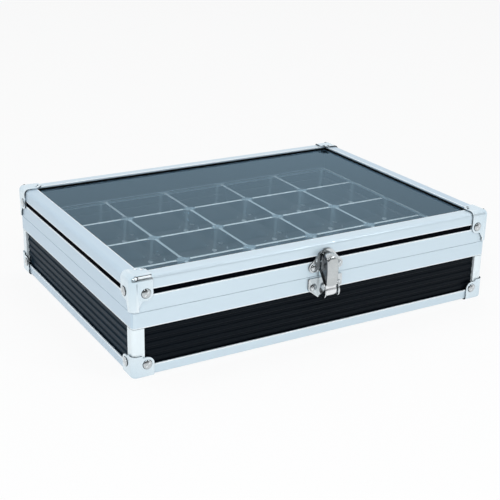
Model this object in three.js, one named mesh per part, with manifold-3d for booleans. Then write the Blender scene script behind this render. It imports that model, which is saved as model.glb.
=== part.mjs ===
// Display case: aluminium frame, ribbed side panels, glazed hinged lid, toggle latch, clear tray of cells.
// Millimetres, +Z up. The case stands on its four bottom corners, with the latch at the front (-Y).

import * as THREE from 'three';
import { mergeVertices } from 'three/addons/utils/BufferGeometryUtils.js';
import { RoundedBoxGeometry } from 'three/addons/geometries/RoundedBoxGeometry.js';
import Module from 'manifold-3d';

const wasm = await Module();
wasm.setup();

// Overall envelope, over the stamped corners
const caseWidth = 330;
const caseDepth = 244;
const caseHeight = 80;
const lidHeight = 28;
const borderWidth = 12.2;

// Clearances
const fitGap = 0.25;
const runGap = 0.1;
const overrun = 5;

// Aluminium extrusions
const railWall = 1.3;
const stripDrop = 11.4;
const stripHeight = 4.2;
const stripRecess = 1.4;
const tongueDepth = 5.2;
const tongueWidth = 1.2;
const tongueHeight = 1.5;
const topRailHeight = 12.5;
const footRailHeight = 8;
const innerWall = 1.1;
const innerWallDrop = 6;
const footFlange = 12.8;

// Corner posts and side panels
const postReach = 10.6;
const panelInset = 1.8;
const panelThickness = 4.75;
const ribCount = 5;
const ribProud = 1.05;
const ribShare = 0.62;
const ribCrownShare = 0.72;

// Floor, foam and tray
const floorThickness = 4;
const cellColumns = 5;
const cellRows = 4;
const trayMarginX = 4.65;
const trayMarginY = 2.85;
const trayRise = 5.5;
const trayWall = 1;
const trayRidge = 2.4;
const traySkirt = 11;
const cupDepth = 20;
const cupInset = 3.2;
const cupCorner = 7;
const cupFillet = 2.2;

// Glass and its gasket
const glassThickness = 3;
const gasketWall = 0.8;
const gasketGrip = 7.7;

// Stamped corners and their rivets
const capWall = 0.9;
const capRadius = 4.5;
const capReach = 17.5;
const capBend = 6;
const openingWidth = 2.6;
const openingStart = 4.8;
const rivetInset = 12;
const lobeRadius = 5.6;
const lidRivetDrop = 13.5;
const lidTail = 4;
const footRivetRise = 10.6;
const footCapHeight = 17.8;
const footShoulder = 8.3;
const capRivetRadius = 3.5;
const capRivetCrown = 1.6;

// Toggle latch. A drop is measured below the seam between lid and base, a rise above it
const plateWall = 1;
const plateLobe = 4.1;
const plateCorner = 1.2;
const basePlateDrop = 17.6;
const basePlateMargin = 1.4;
const catchCrownRise = 22.2;
const catchCrownRadius = 9.6;
const rimMargin = 0.5;
const rimWidth = 1.4;
const rimProud = 0.8;
const latchRivetSpan = 23;
const baseRivetDrop = 8.8;
const catchRivetRise = 7.8;
const latchRivetRadius = 2.9;
const latchRivetCrown = 1.4;
const latchShankRadius = 1.4;
const latchRivetTail = 0.95;
const pivotReach = 5.6;
const pivotDrop = 10.5;
const pivotRadius = 1.2;
const pivotHeadRadius = 2.4;
const pivotCrown = 0.9;
const earWall = 1.1;
const earRadius = 6.4;
const earRise = 5;
const leverWidth = 10.8;
const leverWall = 0.9;
const leverNose = 5.1;
const leverRise = 19.6;
const leverReach = 11.6;
const leverBelly = 0.7;
const leverStepDrop = 4.7;
const leverBack = 2.6;
const leverCrown = 4.6;
const leverToe = 0.8;
const bailWire = 1.6;
const bailHalf = 3.4;
const bailBend = 1.6;
const bailThrow = 3.2;
const bailLead = 0.28;
const bailBarReach = 4;
const bailBarRise = 11.2;
const hookHalf = 2.2;
const hookWall = 1.1;
const hookLip = 0.8;

// Rear hinges
const hingeInset = 67;
const hingeWidth = 32;
const leafWall = 1.2;
const leafHeight = 13;
const leafCorner = 2;
const knuckleRadius = 2.6;
const knuckleShare = 1 / 3;
const pinRadius = 1.2;
const pinHeadWall = 0.8;
const pinHeadRadius = 1.8;
const leafRivetRadius = 2.3;
const leafRivetCrown = 1;
const leafRivetShare = 0.62;

// Facets of round forms
const roundFacets = 16;
const headFacets = 12;
const arcFacets = 4;
const domeRings = 3;
const boxFacets = 2;
const cupFacets = 3;
const bailFacets = 7;
const bailSteps = 56;
const mergeTolerance = 1e-4;

// Depths are measured inwards from the envelope, heights up from the surface the case stands on
const seamHeight = caseHeight - lidHeight;
const railFace = capWall + fitGap;
const railInside = railFace + railWall;
const panelFace = railInside + panelInset;
const panelBack = panelFace + panelThickness;
const innerWallBack = panelBack + fitGap + innerWall;
const baseTop = seamHeight - fitGap / 2;
const lidFoot = seamHeight + fitGap / 2;
const railTop = caseHeight - railFace;
const stripTop = caseHeight - stripDrop;
const stripFoot = stripTop - stripHeight;
const slotHalf = tongueWidth / 2 + fitGap;
const slotRoof = lidFoot + tongueHeight + fitGap;
const panelTop = baseTop - topRailHeight;
const panelFoot = railFace + footRailHeight;
const footTop = railFace + railWall;
const glassTop = railTop - railWall - gasketWall - 2 * fitGap;
const glassFoot = glassTop - glassThickness;
const gasketFoot = glassFoot - fitGap - gasketWall;
const gasketEdge = borderWidth - gasketGrip;
const coreOuter = railFace + stripRecess + railWall + fitGap;
const coreFoot = slotRoof + railWall + fitGap;
const coreTop = gasketFoot - fitGap;
const boardFoot = footTop + fitGap;
const boardTop = baseTop - railWall - fitGap;
const floorTop = boardFoot + floorThickness;
const foamTop = baseTop - innerWallDrop - fitGap;
const trayHalfX = caseWidth / 2 - innerWallBack - trayMarginX;
const trayHalfY = caseDepth / 2 - innerWallBack - trayMarginY;
const cellPitchX = 2 * trayHalfX / cellColumns;
const cellPitchY = 2 * trayHalfY / cellRows;
const trayTop = seamHeight + trayRise;
const trayFoot = trayTop - trayWall - cupDepth;

const axisX = new THREE.Vector3(1, 0, 0);
const axisY = new THREE.Vector3(0, 1, 0);
const axisZ = new THREE.Vector3(0, 0, 1);
const outward = new THREE.Vector3(0, -1, 0);
const inwardX = new THREE.Vector3(-1, 0, 0);

const finishes = {
  aluminium: new THREE.MeshStandardMaterial({ color: 0xd3dade, roughness: 0.34, metalness: 0.9 }),
  stamped: new THREE.MeshStandardMaterial({ color: 0xc6d0d6, roughness: 0.26, metalness: 0.95 }),
  nickel: new THREE.MeshStandardMaterial({ color: 0xb9bdbc, roughness: 0.14, metalness: 1 }),
  blackPlastic: new THREE.MeshStandardMaterial({ color: 0x14161a, roughness: 0.55, metalness: 0 }),
  blackRubber: new THREE.MeshStandardMaterial({ color: 0x0c0d0f, roughness: 0.8, metalness: 0 }),
  blackBoard: new THREE.MeshStandardMaterial({ color: 0x1b1c1f, roughness: 0.9, metalness: 0 }),
  blackFoam: new THREE.MeshStandardMaterial({ color: 0x202226, roughness: 1, metalness: 0 }),
  glass: new THREE.MeshStandardMaterial({
    color: 0x8fa6b3, roughness: 0.03, metalness: 0, transparent: true, opacity: 0.35,
  }),
  clearPlastic: new THREE.MeshStandardMaterial({
    color: 0xb4c4cf, roughness: 0.12, metalness: 0, transparent: true, opacity: 0.45,
  }),
};

// Solids, joins and cuts

function toSolid(geometry) {
  const plain = new THREE.BufferGeometry();
  plain.setAttribute('position', geometry.getAttribute('position').clone());
  if (geometry.index) plain.setIndex(geometry.index.clone());
  const merged = mergeVertices(plain, mergeTolerance);
  return new wasm.Manifold(new wasm.Mesh({
    numProp: 3,
    vertProperties: Float32Array.from(merged.getAttribute('position').array),
    triVerts: Uint32Array.from(merged.index.array),
  }));
}

function toGeometry(solid) {
  const mesh = solid.getMesh();
  const geometry = new THREE.BufferGeometry();
  geometry.setAttribute('position', new THREE.BufferAttribute(mesh.vertProperties, 3));
  geometry.setIndex(new THREE.BufferAttribute(mesh.triVerts, 1));
  geometry.computeVertexNormals();
  return geometry;
}

function join(...geometries) {
  return toGeometry(geometries.map(toSolid).reduce((whole, next) => whole.add(next)));
}

function cut(geometry, ...tools) {
  return toGeometry(tools.map(toSolid).reduce((whole, next) => whole.subtract(next), toSolid(geometry)));
}

function common(...geometries) {
  return toGeometry(geometries.map(toSolid).reduce((whole, next) => whole.intersect(next)));
}

// A box between two places along X, two along Y and two along Z
function block(x0, x1, y0, y1, z0, z1) {
  const box = new THREE.BoxGeometry(Math.abs(x1 - x0), Math.abs(y1 - y0), Math.abs(z1 - z0));
  return box.translate((x0 + x1) / 2, (y0 + y1) / 2, (z0 + z1) / 2);
}

function outline(points) {
  return new THREE.Shape(points.map(([x, y]) => new THREE.Vector2(x, y)));
}

function arc(centreX, centreY, radius, from, to, facets = arcFacets) {
  const step = (to - from) / facets;
  return Array.from({ length: facets + 1 }, (_, i) => [
    centreX + radius * Math.cos(from + i * step),
    centreY + radius * Math.sin(from + i * step),
  ]);
}

// An outline drawn out to a depth, its own axes turned to the three directions given
function prism(points, depth, right = axisX, up = axisY, along = axisZ) {
  const solid = new THREE.ExtrudeGeometry(outline(points), { depth, bevelEnabled: false });
  return solid.applyMatrix4(new THREE.Matrix4().makeBasis(right, up, along));
}

// A round rod along X or Y, from one place to another
function rod(radius, from, to, axis, facets = roundFacets) {
  const cylinder = new THREE.CylinderGeometry(radius, radius, to - from, facets);
  cylinder.translate(0, (from + to) / 2, 0);
  return axis === axisX ? cylinder.rotateZ(-Math.PI / 2) : cylinder;
}

// A turned piece whose domed head stands out along -Y from y = 0. The stem gives radius and place
function domed(headRadius, crown, stem) {
  const dome = Array.from({ length: domeRings }, (_, i) => {
    const angle = Math.PI / 2 * i / domeRings;
    return [headRadius * Math.cos(angle), -crown * Math.sin(angle)];
  });
  const profile = [...stem, ...dome, [0, -crown]].map(([radius, place]) => new THREE.Vector2(radius, place));
  return new THREE.LatheGeometry(profile.reverse(), headFacets);
}

const rivet = (headRadius, crown, shankRadius, grip) => domed(headRadius, crown, [
  [0, grip],
  [shankRadius, grip],
  [shankRadius, 0],
]);

// A rivet head that belongs to the sheet it sits on
const fusedHead = (headRadius, crown, root) => domed(headRadius, crown, [
  [0, root],
  [headRadius, root],
]);

// Bars and rings of the frame

// The rounded box that the outer faces of the whole frame lie on, seen from one side of it
function frameEnvelope(length, half) {
  const box = new RoundedBoxGeometry(length - 2 * railFace, 2 * (half - railFace), caseHeight - 2 * railFace,
    boxFacets, capRadius - capWall - fitGap);
  return box.translate(0, half, caseHeight / 2);
}

// A bar along X with mitred ends. The outline gives depth behind the envelope and height
function mitredBar(points, length) {
  const bar = prism(points, 1, axisY, axisZ, axisX);
  const place = bar.getAttribute('position');
  for (let i = 0; i < place.count; i += 1) {
    const end = place.getX(i) > 0.5 ? 1 : -1;
    place.setX(i, end * (length / 2 - place.getY(i) - fitGap / 2));
  }
  return bar;
}

// A mitred bar whose outside is rounded to the frame's envelope
function frameBar(points, length, half) {
  return common(mitredBar(points, length), frameEnvelope(length, half));
}

// A mitred ring round the case. The outline gives depth behind the envelope and height
function mitredRing(points, halfX, halfY) {
  const start = Math.max(...points.map(([depth]) => depth)) + overrun;
  const profile = [...points, points[0]].map(([depth, height]) => new THREE.Vector2(
    (start - depth) * Math.SQRT2, height));
  const ring = new THREE.LatheGeometry(profile, 4, Math.PI / 4).rotateX(Math.PI / 2);
  const place = ring.getAttribute('position');
  for (let i = 0; i < place.count; i += 1) {
    place.setX(i, place.getX(i) + Math.sign(place.getX(i)) * (halfX - start));
    place.setY(i, place.getY(i) + Math.sign(place.getY(i)) * (halfY - start));
  }
  return ring;
}

const skin = railFace - overrun;
const slotNear = tongueDepth - slotHalf;
const slotFar = tongueDepth + slotHalf;

const lidRailOutline = [
  [skin, lidFoot],
  [slotNear, lidFoot],
  [slotNear, slotRoof],
  [slotFar, slotRoof],
  [slotFar, lidFoot],
  [borderWidth, lidFoot],
  [borderWidth, lidFoot + railWall],
  [slotFar + railWall, lidFoot + railWall],
  [slotFar + railWall, slotRoof + railWall],
  [slotNear - railWall, slotRoof + railWall],
  [slotNear - railWall, lidFoot + railWall],
  [railInside, lidFoot + railWall],
  [railInside, stripFoot - railWall],
  [railInside + stripRecess, stripFoot - railWall],
  [railInside + stripRecess, stripTop + railWall],
  [railInside, stripTop + railWall],
  [railInside, railTop - 2 * railWall],
  [railInside + railWall, railTop - railWall],
  [borderWidth, railTop - railWall],
  [borderWidth, railTop + overrun],
  [skin, railTop + overrun],
  [skin, stripTop],
  [railFace + stripRecess, stripTop],
  [railFace + stripRecess, stripFoot],
  [skin, stripFoot],
];

const tongueNear = tongueDepth - tongueWidth / 2;
const tongueFar = tongueDepth + tongueWidth / 2;

const baseRailOutline = [
  [skin, panelTop],
  [railInside, panelTop],
  [railInside, baseTop - railWall],
  [innerWallBack - innerWall, baseTop - railWall],
  [innerWallBack - innerWall, baseTop - innerWallDrop],
  [innerWallBack, baseTop - innerWallDrop],
  [innerWallBack, baseTop],
  [tongueFar, baseTop],
  [tongueFar, baseTop + tongueHeight],
  [tongueNear, baseTop + tongueHeight],
  [tongueNear, baseTop],
  [skin, baseTop],
];

const footRailOutline = [
  [skin, skin],
  [railFace + footFlange, skin],
  [railFace + footFlange, footTop],
  [railInside, footTop],
  [railInside, panelFoot],
  [skin, panelFoot],
];

const stripOutline = [
  [railFace + fitGap, stripFoot + fitGap],
  [railFace + stripRecess - fitGap, stripFoot + fitGap],
  [railFace + stripRecess - fitGap, stripTop - fitGap],
  [railFace + fitGap, stripTop - fitGap],
];

const coreOutline = [
  [coreOuter, coreFoot],
  [borderWidth, coreFoot],
  [borderWidth, coreTop],
  [coreOuter, coreTop],
];

// Two holes for the latch rivets, through the outer wall of a front rail
function drilled(rail, height) {
  const holes = [-1, 1].map((side) => rod(latchShankRadius + runGap, skin, railInside + fitGap, axisY)
    .translate(side * latchRivetSpan / 2, 0, height));
  return cut(rail, ...holes);
}

// Ribbed side panel: a board behind the posts, with its ribs standing between them
function sidePanel(length, besidePosts) {
  const halfBoard = length / 2 - (besidePosts ? panelFace + fitGap : panelBack + fitGap);
  const board = block(-halfBoard, halfBoard, panelFace, panelBack, boardFoot, boardTop);
  const halfRib = length / 2 - postReach - fitGap;
  const pitch = (panelTop - panelFoot) / ribCount;
  const root = pitch * ribShare / 2;
  const crown = root * ribCrownShare;
  const ribs = Array.from({ length: ribCount }, (_, i) => {
    const middle = panelFoot + pitch * (i + 1 / 2);
    return prism([
      [panelFace + fitGap, middle - root],
      [panelFace + fitGap, middle + root],
      [panelFace - ribProud / 2, middle + root],
      [panelFace - ribProud, middle + crown],
      [panelFace - ribProud, middle - crown],
      [panelFace - ribProud / 2, middle - root],
    ], 2 * halfRib, axisY, axisZ, axisX).translate(-halfRib, 0, 0);
  });
  return join(board, ...ribs);
}

// Corner pieces, each drawn in the corner where both faces meet at the origin

// A post flush with the rails, whose turned-in edges rest against the panels
function cornerPost() {
  const foot = panelFoot + fitGap;
  const lip = panelFace - fitGap;
  const lipStart = postReach - railWall;
  return prism([
    ...arc(capRadius, capRadius, capRadius - railFace, Math.PI, 3 * Math.PI / 2),
    [postReach, railFace],
    [postReach, lip],
    [lipStart, lip],
    [lipStart, railInside],
    ...arc(capRadius, capRadius, capRadius - railInside, 3 * Math.PI / 2, Math.PI),
    [railInside, lipStart],
    [lip, lipStart],
    [lip, postReach],
    [railFace, postReach],
  ], panelTop - fitGap - foot).translate(0, 0, foot);
}

// The bent sheet of a stamped corner: a rounded box corner with its inside taken out
function cornerSheet(base, side) {
  const size = caseHeight + 2 * capReach;
  const inner = size - 2 * capWall;
  const outside = new RoundedBoxGeometry(size, size, size, boxFacets, capRadius);
  const inside = new RoundedBoxGeometry(inner, inner, inner, boxFacets, capRadius - capWall);
  return cut(outside, inside).translate(size / 2, size / 2, base - side * size / 2);
}

// The parts of a corner's sheet that are kept: two side tabs of the outline given and a level tab
function cornerTabs(points, base, side) {
  const front = prism(points, capBend + overrun, axisX, axisZ, outward).translate(0, capBend, 0);
  const flank = prism(points, capBend + overrun, axisY, axisZ, axisX).translate(-overrun, 0, 0);
  const level = prism([
    [-overrun, -overrun],
    [capReach, -overrun],
    [capReach, borderWidth],
    [borderWidth, capReach],
    [-overrun, capReach],
  ], capBend + overrun).translate(0, 0, side > 0 ? base - capBend : base - overrun);
  return join(front, flank, level);
}

function capRivets(height) {
  const head = fusedHead(capRivetRadius, capRivetCrown, capWall / 2);
  const front = head.clone().translate(rivetInset, 0, height);
  const flank = head.rotateZ(-Math.PI / 2).translate(0, rivetInset, height);
  return [front, flank];
}

// Openings along the folds, which part the tabs from each other and show the rail between them
function foldOpenings() {
  const top = caseHeight + overrun;
  const far = capReach + overrun;
  return [
    block(openingStart, far, -overrun, openingWidth, caseHeight - openingWidth, top),
    block(-overrun, openingWidth, openingStart, far, caseHeight - openingWidth, top),
  ];
}

function lidCorner() {
  const rivetHeight = caseHeight - lidRivetDrop;
  const foot = seamHeight + capWall;
  const sheet = cornerSheet(caseHeight, 1);
  const tabs = cornerTabs([
    [-overrun, foot],
    [lidTail, foot],
    [rivetInset - lobeRadius / 2, rivetHeight - lobeRadius],
    ...arc(rivetInset, rivetHeight, lobeRadius, -Math.PI / 2, 0),
    [capReach, rivetHeight + lobeRadius / 2],
    [capReach, caseHeight + overrun],
    [-overrun, caseHeight + overrun],
  ], caseHeight, 1);
  return join(cut(common(sheet, tabs), ...foldOpenings()), ...capRivets(rivetHeight));
}

function footCorner() {
  const sheet = cornerSheet(0, -1);
  const tabs = cornerTabs([
    [-overrun, -overrun],
    [capReach, -overrun],
    [capReach, footRivetRise - lobeRadius / 2],
    ...arc(rivetInset, footRivetRise, lobeRadius, 0, Math.PI / 2),
    [footShoulder, footRivetRise + lobeRadius],
    [footShoulder, footCapHeight],
    [-overrun, footCapHeight],
  ], 0, -1);
  return join(common(sheet, tabs), ...capRivets(footRivetRise));
}

// Glass, gasket, floor, foam and tray

function glassPane() {
  const edge = gasketEdge + gasketWall + fitGap;
  const halfX = caseWidth / 2 - edge;
  const halfY = caseDepth / 2 - edge;
  return block(-halfX, halfX, -halfY, halfY, glassFoot, glassTop);
}

function glassGasket() {
  const roof = glassTop + fitGap;
  const bed = glassFoot - fitGap;
  return mitredRing([
    [gasketEdge, gasketFoot],
    [gasketEdge, roof + gasketWall],
    [borderWidth, roof + gasketWall],
    [borderWidth, roof],
    [gasketEdge + gasketWall, roof],
    [gasketEdge + gasketWall, bed],
    [borderWidth, bed],
    [borderWidth, gasketFoot],
  ], caseWidth / 2, caseDepth / 2);
}

const insideX = caseWidth / 2 - panelBack - fitGap;
const insideY = caseDepth / 2 - panelBack - fitGap;

function floorBoard() {
  return block(-insideX, insideX, -insideY, insideY, boardFoot, floorTop);
}

function foamBed() {
  const foam = block(-insideX, insideX, -insideY, insideY, floorTop + fitGap, foamTop);
  const nestX = trayHalfX + fitGap;
  const nestY = trayHalfY + fitGap;
  return cut(foam, block(-nestX, nestX, -nestY, nestY, trayFoot - fitGap, foamTop + overrun));
}

// A cup that narrows downwards, with rounded upright corners. Each ring gives height and inset
function cup(width, depth, corner, rings) {
  const reachX = width / 2 - corner;
  const reachY = depth / 2 - corner;
  const mouth = outline([
    ...arc(reachX, reachY, corner, 0, Math.PI / 2, cupFacets),
    ...arc(-reachX, reachY, corner, Math.PI / 2, Math.PI, cupFacets),
    ...arc(-reachX, -reachY, corner, Math.PI, 3 * Math.PI / 2, cupFacets),
    ...arc(reachX, -reachY, corner, 3 * Math.PI / 2, 2 * Math.PI, cupFacets),
  ]);
  const stretches = rings.length - 1;
  const body = new THREE.ExtrudeGeometry(mouth, { depth: stretches, steps: stretches, bevelEnabled: false });
  const place = body.getAttribute('position');
  for (let i = 0; i < place.count; i += 1) {
    const [height, inset] = rings[Math.round(place.getZ(i))];
    const x = place.getX(i);
    const y = place.getY(i);
    place.setXYZ(i, x - Math.sign(x) * inset, y - Math.sign(y) * inset, height);
  }
  return body;
}

function cellTray() {
  const width = cellPitchX - trayRidge;
  const depth = cellPitchY - trayRidge;
  const floor = trayTop - cupDepth;
  const under = trayTop - trayWall / 2;
  const shell = [
    [trayFoot, cupInset + cupFillet],
    [trayFoot + cupFillet, cupInset],
    [under, 0],
  ];
  const hollow = [
    [floor, cupInset + cupFillet],
    [floor + cupFillet, cupInset],
    [trayTop, 0],
    [trayTop + overrun, 0],
  ];
  const places = [];
  for (let row = 0; row < cellRows; row += 1) {
    for (let column = 0; column < cellColumns; column += 1) {
      places.push([(column + 1 / 2) * cellPitchX - trayHalfX, (row + 1 / 2) * cellPitchY - trayHalfY]);
    }
  }
  const shells = places.map(([x, y]) => cup(
    width + 2 * trayWall, depth + 2 * trayWall, cupCorner + trayWall, shell).translate(x, y, 0));
  const hollows = places.map(([x, y]) => cup(width, depth, cupCorner, hollow).translate(x, y, 0));
  const sheet = block(-trayHalfX, trayHalfX, -trayHalfY, trayHalfY, trayTop - trayWall, trayTop);
  const innerX = trayHalfX - trayWall;
  const innerY = trayHalfY - trayWall;
  const hem = trayTop - traySkirt;
  const skirt = cut(
    block(-trayHalfX, trayHalfX, -trayHalfY, trayHalfY, hem, under),
    block(-innerX, innerX, -innerY, innerY, hem - overrun, trayTop),
  );
  return cut(join(sheet, skirt, ...shells), ...hollows);
}

// Toggle latch, drawn from the rail's outer face at y = 0 and the seam at z = 0, outside towards -Y

const plateFront = fitGap + plateWall;
const plateRoot = plateFront - plateWall / 2;
const plateHalf = latchRivetSpan / 2 + plateLobe;
const earInside = leverWidth / 2 + fitGap;
const earOutside = earInside + earWall;
const baseTopEdge = -basePlateMargin;
const baseFootEdge = -basePlateDrop;

// A piece as wide as given about x = 0, whose side outline gives reach out of the rail and height
function sideProfile(points, width) {
  return prism(points, width, outward, axisZ, inwardX).translate(width / 2, 0, 0);
}

// A flat plate on the rail, whose outline gives place across and height
function flatPlate(points, thickness = plateWall) {
  return prism(points, thickness, axisX, axisZ, outward).translate(0, -fitGap, 0);
}

function crossHole(radius, reach, height) {
  return rod(radius, -plateHalf, plateHalf, axisX).translate(0, -reach, height);
}

function rivetHoles(height) {
  return [-1, 1].map((side) => rod(latchShankRadius + runGap, -plateFront - fitGap, fitGap, axisY)
    .translate(side * latchRivetSpan / 2, 0, height));
}

// The same outline on both sides of x = 0, given for the right side from the bottom up
function mirrored(points) {
  return [...points, ...points.map(([x, z]) => [-x, z]).reverse()];
}

function latchBasePlate() {
  const rivetX = latchRivetSpan / 2;
  const plate = flatPlate(mirrored([
    [earOutside, baseFootEdge],
    ...arc(rivetX, -baseRivetDrop, plateLobe, -2 * Math.PI / 5, 0),
    [plateHalf, baseTopEdge - plateCorner],
    [plateHalf - plateCorner, baseTopEdge],
  ]));
  const window = block(-earInside, earInside, -plateFront - overrun, fitGap,
    -pivotDrop - leverNose - fitGap, -pivotDrop + leverNose);
  const side = [
    [plateRoot, baseFootEdge + plateWall],
    ...arc(pivotReach, -pivotDrop, earRadius, -Math.PI / 2, Math.PI / 6, 2 * arcFacets),
    [plateFront + fitGap + plateWall, earRise],
    [plateFront + fitGap, earRise],
    [plateFront + fitGap, baseTopEdge],
    [plateRoot, baseTopEdge - plateWall],
  ];
  const ears = [-1, 1].map((hand) => sideProfile(side, earWall)
    .translate(hand * (earInside + earWall / 2), 0, 0));
  const whole = join(cut(plate, window), ...ears);
  return cut(whole, crossHole(pivotRadius + runGap, pivotReach, -pivotDrop), ...rivetHoles(-baseRivetDrop));
}

// The catch on the lid: a plate with a lobe round each rivet, a raised rim over the lever and a hook
function latchCatch() {
  const rivetX = latchRivetSpan / 2;
  const crownHeight = catchCrownRise - catchCrownRadius;
  const plate = flatPlate(mirrored([
    ...arc(rivetX, catchRivetRise, plateLobe, -Math.PI / 2, Math.PI / 3),
    ...arc(0, crownHeight, catchCrownRadius, Math.PI / 8, Math.PI / 2),
  ]));
  const rimRadius = catchCrownRadius - rimMargin;
  const rim = flatPlate([
    ...arc(0, crownHeight, rimRadius, 0, Math.PI, 2 * arcFacets),
    ...arc(0, crownHeight, rimRadius - rimWidth, Math.PI, 0, 2 * arcFacets),
  ], plateWall + rimProud);
  const seat = bailBarRise - bailWire / 2 - runGap;
  const lipBack = bailBarReach + bailWire / 2 + fitGap + runGap;
  const hook = sideProfile([
    [plateRoot, seat - hookWall],
    [lipBack, seat - hookWall],
    [lipBack + hookWall, seat],
    [lipBack + hookWall, bailBarRise + hookLip],
    [lipBack, bailBarRise + hookLip],
    [lipBack, seat],
    [plateRoot, seat],
  ], 2 * hookHalf);
  return cut(join(plate, rim, hook), ...rivetHoles(catchRivetRise));
}

function latchRivet() {
  return rivet(latchRivetRadius, latchRivetCrown, latchShankRadius, plateFront + railWall + latchRivetTail);
}

// The lever in side view: a round nose about its pivot, a step, and a bellied face up to the crown
function leverSide(inset) {
  const nose = leverNose - inset;
  const noseFront = pivotReach + nose * Math.cos(Math.PI / 6);
  const face = leverReach - inset;
  const shoulder = leverReach - leverBelly;
  const step = inset - leverStepDrop;
  return [
    [leverBack, leverNose - pivotDrop],
    ...arc(pivotReach, -pivotDrop, nose, 4 * Math.PI / 5, 13 * Math.PI / 6, 3 * arcFacets),
    [noseFront, step],
    [shoulder - inset, step],
    [face, (leverRise - leverStepDrop) / 2],
    ...arc(shoulder - leverCrown, leverRise - leverCrown, leverCrown - inset, 0, Math.PI / 2),
    [leverBack, leverRise - inset],
  ];
}

function latchLever() {
  const body = sideProfile(leverSide(0), leverWidth);
  const half = leverWidth / 2;
  const foot = -pivotDrop - leverNose;
  const front = prism(mirrored([
    ...arc(half - leverToe, foot + leverToe, leverToe, -Math.PI / 2, 0),
    ...arc(half - leverCrown, leverRise - leverCrown, leverCrown, 0, Math.PI / 2),
  ]), leverReach + 2 * overrun, axisX, axisZ, outward).translate(0, overrun, 0);
  const hollowWidth = leverWidth - 2 * leverWall;
  const hollow = sideProfile([
    ...leverSide(leverWall),
    [-overrun, leverRise - leverWall],
    [-overrun, leverNose - pivotDrop],
  ], hollowWidth);
  const bailWay = sideProfile([
    [-overrun, foot - overrun],
    [pivotReach + bailWire / 2, foot - overrun],
    [pivotReach + bailWire / 2, leverNose - pivotDrop],
    [-overrun, leverNose - pivotDrop],
  ], hollowWidth);
  return cut(common(body, front), hollow, bailWay,
    crossHole(pivotRadius + runGap, pivotReach, -pivotDrop),
    crossHole(bailWire / 2 + runGap, pivotReach + bailLead, -pivotDrop - bailThrow));
}

// The bent wire that links lever and hook: feet in the lever's cheeks, two legs and a cross bar
function latchBail() {
  const foot = new THREE.Vector3(0, -pivotReach - bailLead, -pivotDrop - bailThrow);
  const bar = new THREE.Vector3(0, -bailBarReach, bailBarRise);
  const bends = [[foot, -leverWidth / 2], [foot, -bailHalf], [bar, -bailHalf], [bar, bailHalf],
    [foot, bailHalf], [foot, leverWidth / 2]].map(([point, x]) => point.clone().setX(x));
  const route = new THREE.CurvePath();
  let last = bends[0];
  for (let i = 1; i < bends.length - 1; i += 1) {
    const arriving = bends[i].clone().sub(bends[i - 1]).setLength(bailBend);
    const leaving = bends[i + 1].clone().sub(bends[i]).setLength(bailBend);
    const into = bends[i].clone().sub(arriving);
    const out = bends[i].clone().add(leaving);
    route.add(new THREE.LineCurve3(last, into));
    route.add(new THREE.QuadraticBezierCurve3(into, bends[i], out));
    last = out;
  }
  route.add(new THREE.LineCurve3(last, bends[bends.length - 1]));
  const section = outline(arc(0, 0, bailWire / 2, 0, 2 * Math.PI, bailFacets).slice(0, -1));
  return new THREE.ExtrudeGeometry(section, { steps: bailSteps, bevelEnabled: false, extrudePath: route });
}

// A short pivot rivet through one ear and one cheek of the lever
function pivotRivet() {
  return rivet(pivotHeadRadius, pivotCrown, pivotRadius, earWall + fitGap + leverWall - runGap);
}

// Rear hinges, drawn from the rail's outer face at y = 0 and the seam at z = 0, outside towards -Y

const pinReach = fitGap + knuckleRadius;

// One leaf, above or below the seam: a plate on the rail, knuckles round the pin, and two rivet heads
function hingeLeaf(side, knuckles) {
  const half = hingeWidth / 2;
  const far = side * leafHeight;
  const near = side * (knuckleRadius + fitGap);
  const plate = flatPlate([
    [-half, near],
    [half, near],
    [half, far - side * leafCorner],
    [half - leafCorner, far],
    [leafCorner - half, far],
    [-half, far - side * leafCorner],
  ], leafWall);
  const barrels = knuckles.map(([from, to]) => join(
    rod(knuckleRadius, from, to, axisX).translate(0, -pinReach, 0),
    block(from, to, -fitGap - leafWall, -fitGap, 0, near + side * leafWall),
  ));
  const bore = rod(pinRadius + runGap, -half - overrun, half + overrun, axisX).translate(0, -pinReach, 0);
  const heads = [-1, 1].map((hand) => fusedHead(leafRivetRadius, leafRivetCrown, leafWall / 2)
    .translate(hand * half / 2, -fitGap - leafWall, far * leafRivetShare));
  return join(cut(join(plate, ...barrels), bore), ...heads);
}

function baseLeaf() {
  const half = hingeWidth / 2;
  const inner = half * knuckleShare + fitGap / 2;
  return hingeLeaf(-1, [[-half, -inner], [inner, half]]);
}

function lidLeaf() {
  const inner = hingeWidth / 2 * knuckleShare - fitGap / 2;
  return hingeLeaf(1, [[-inner, inner]]);
}

function hingePin() {
  const inner = hingeWidth / 2 + fitGap;
  const outer = inner + pinHeadWall;
  const pin = join(
    rod(pinRadius, -outer, outer, axisX),
    rod(pinHeadRadius, -outer, -inner, axisX),
    rod(pinHeadRadius, inner, outer, axisX),
  );
  return pin.translate(0, -pinReach, 0);
}

// The assembly

const displayCase = new THREE.Group();

// The latch reaches out further than the hinges, so the case stands back by half the difference
displayCase.position.set(0, (pivotReach + earRadius - pinReach - knuckleRadius) / 2, 0);

function addPiece(group, name, geometry, material) {
  const mesh = new THREE.Mesh(geometry, material);
  mesh.name = name;
  group.add(mesh);
}

const sides = [
  { name: 'front', turn: 0, half: caseDepth / 2, length: caseWidth },
  { name: 'right', turn: Math.PI / 2, half: caseWidth / 2, length: caseDepth },
  { name: 'back', turn: Math.PI, half: caseDepth / 2, length: caseWidth },
  { name: 'left', turn: -Math.PI / 2, half: caseWidth / 2, length: caseDepth },
];

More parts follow.
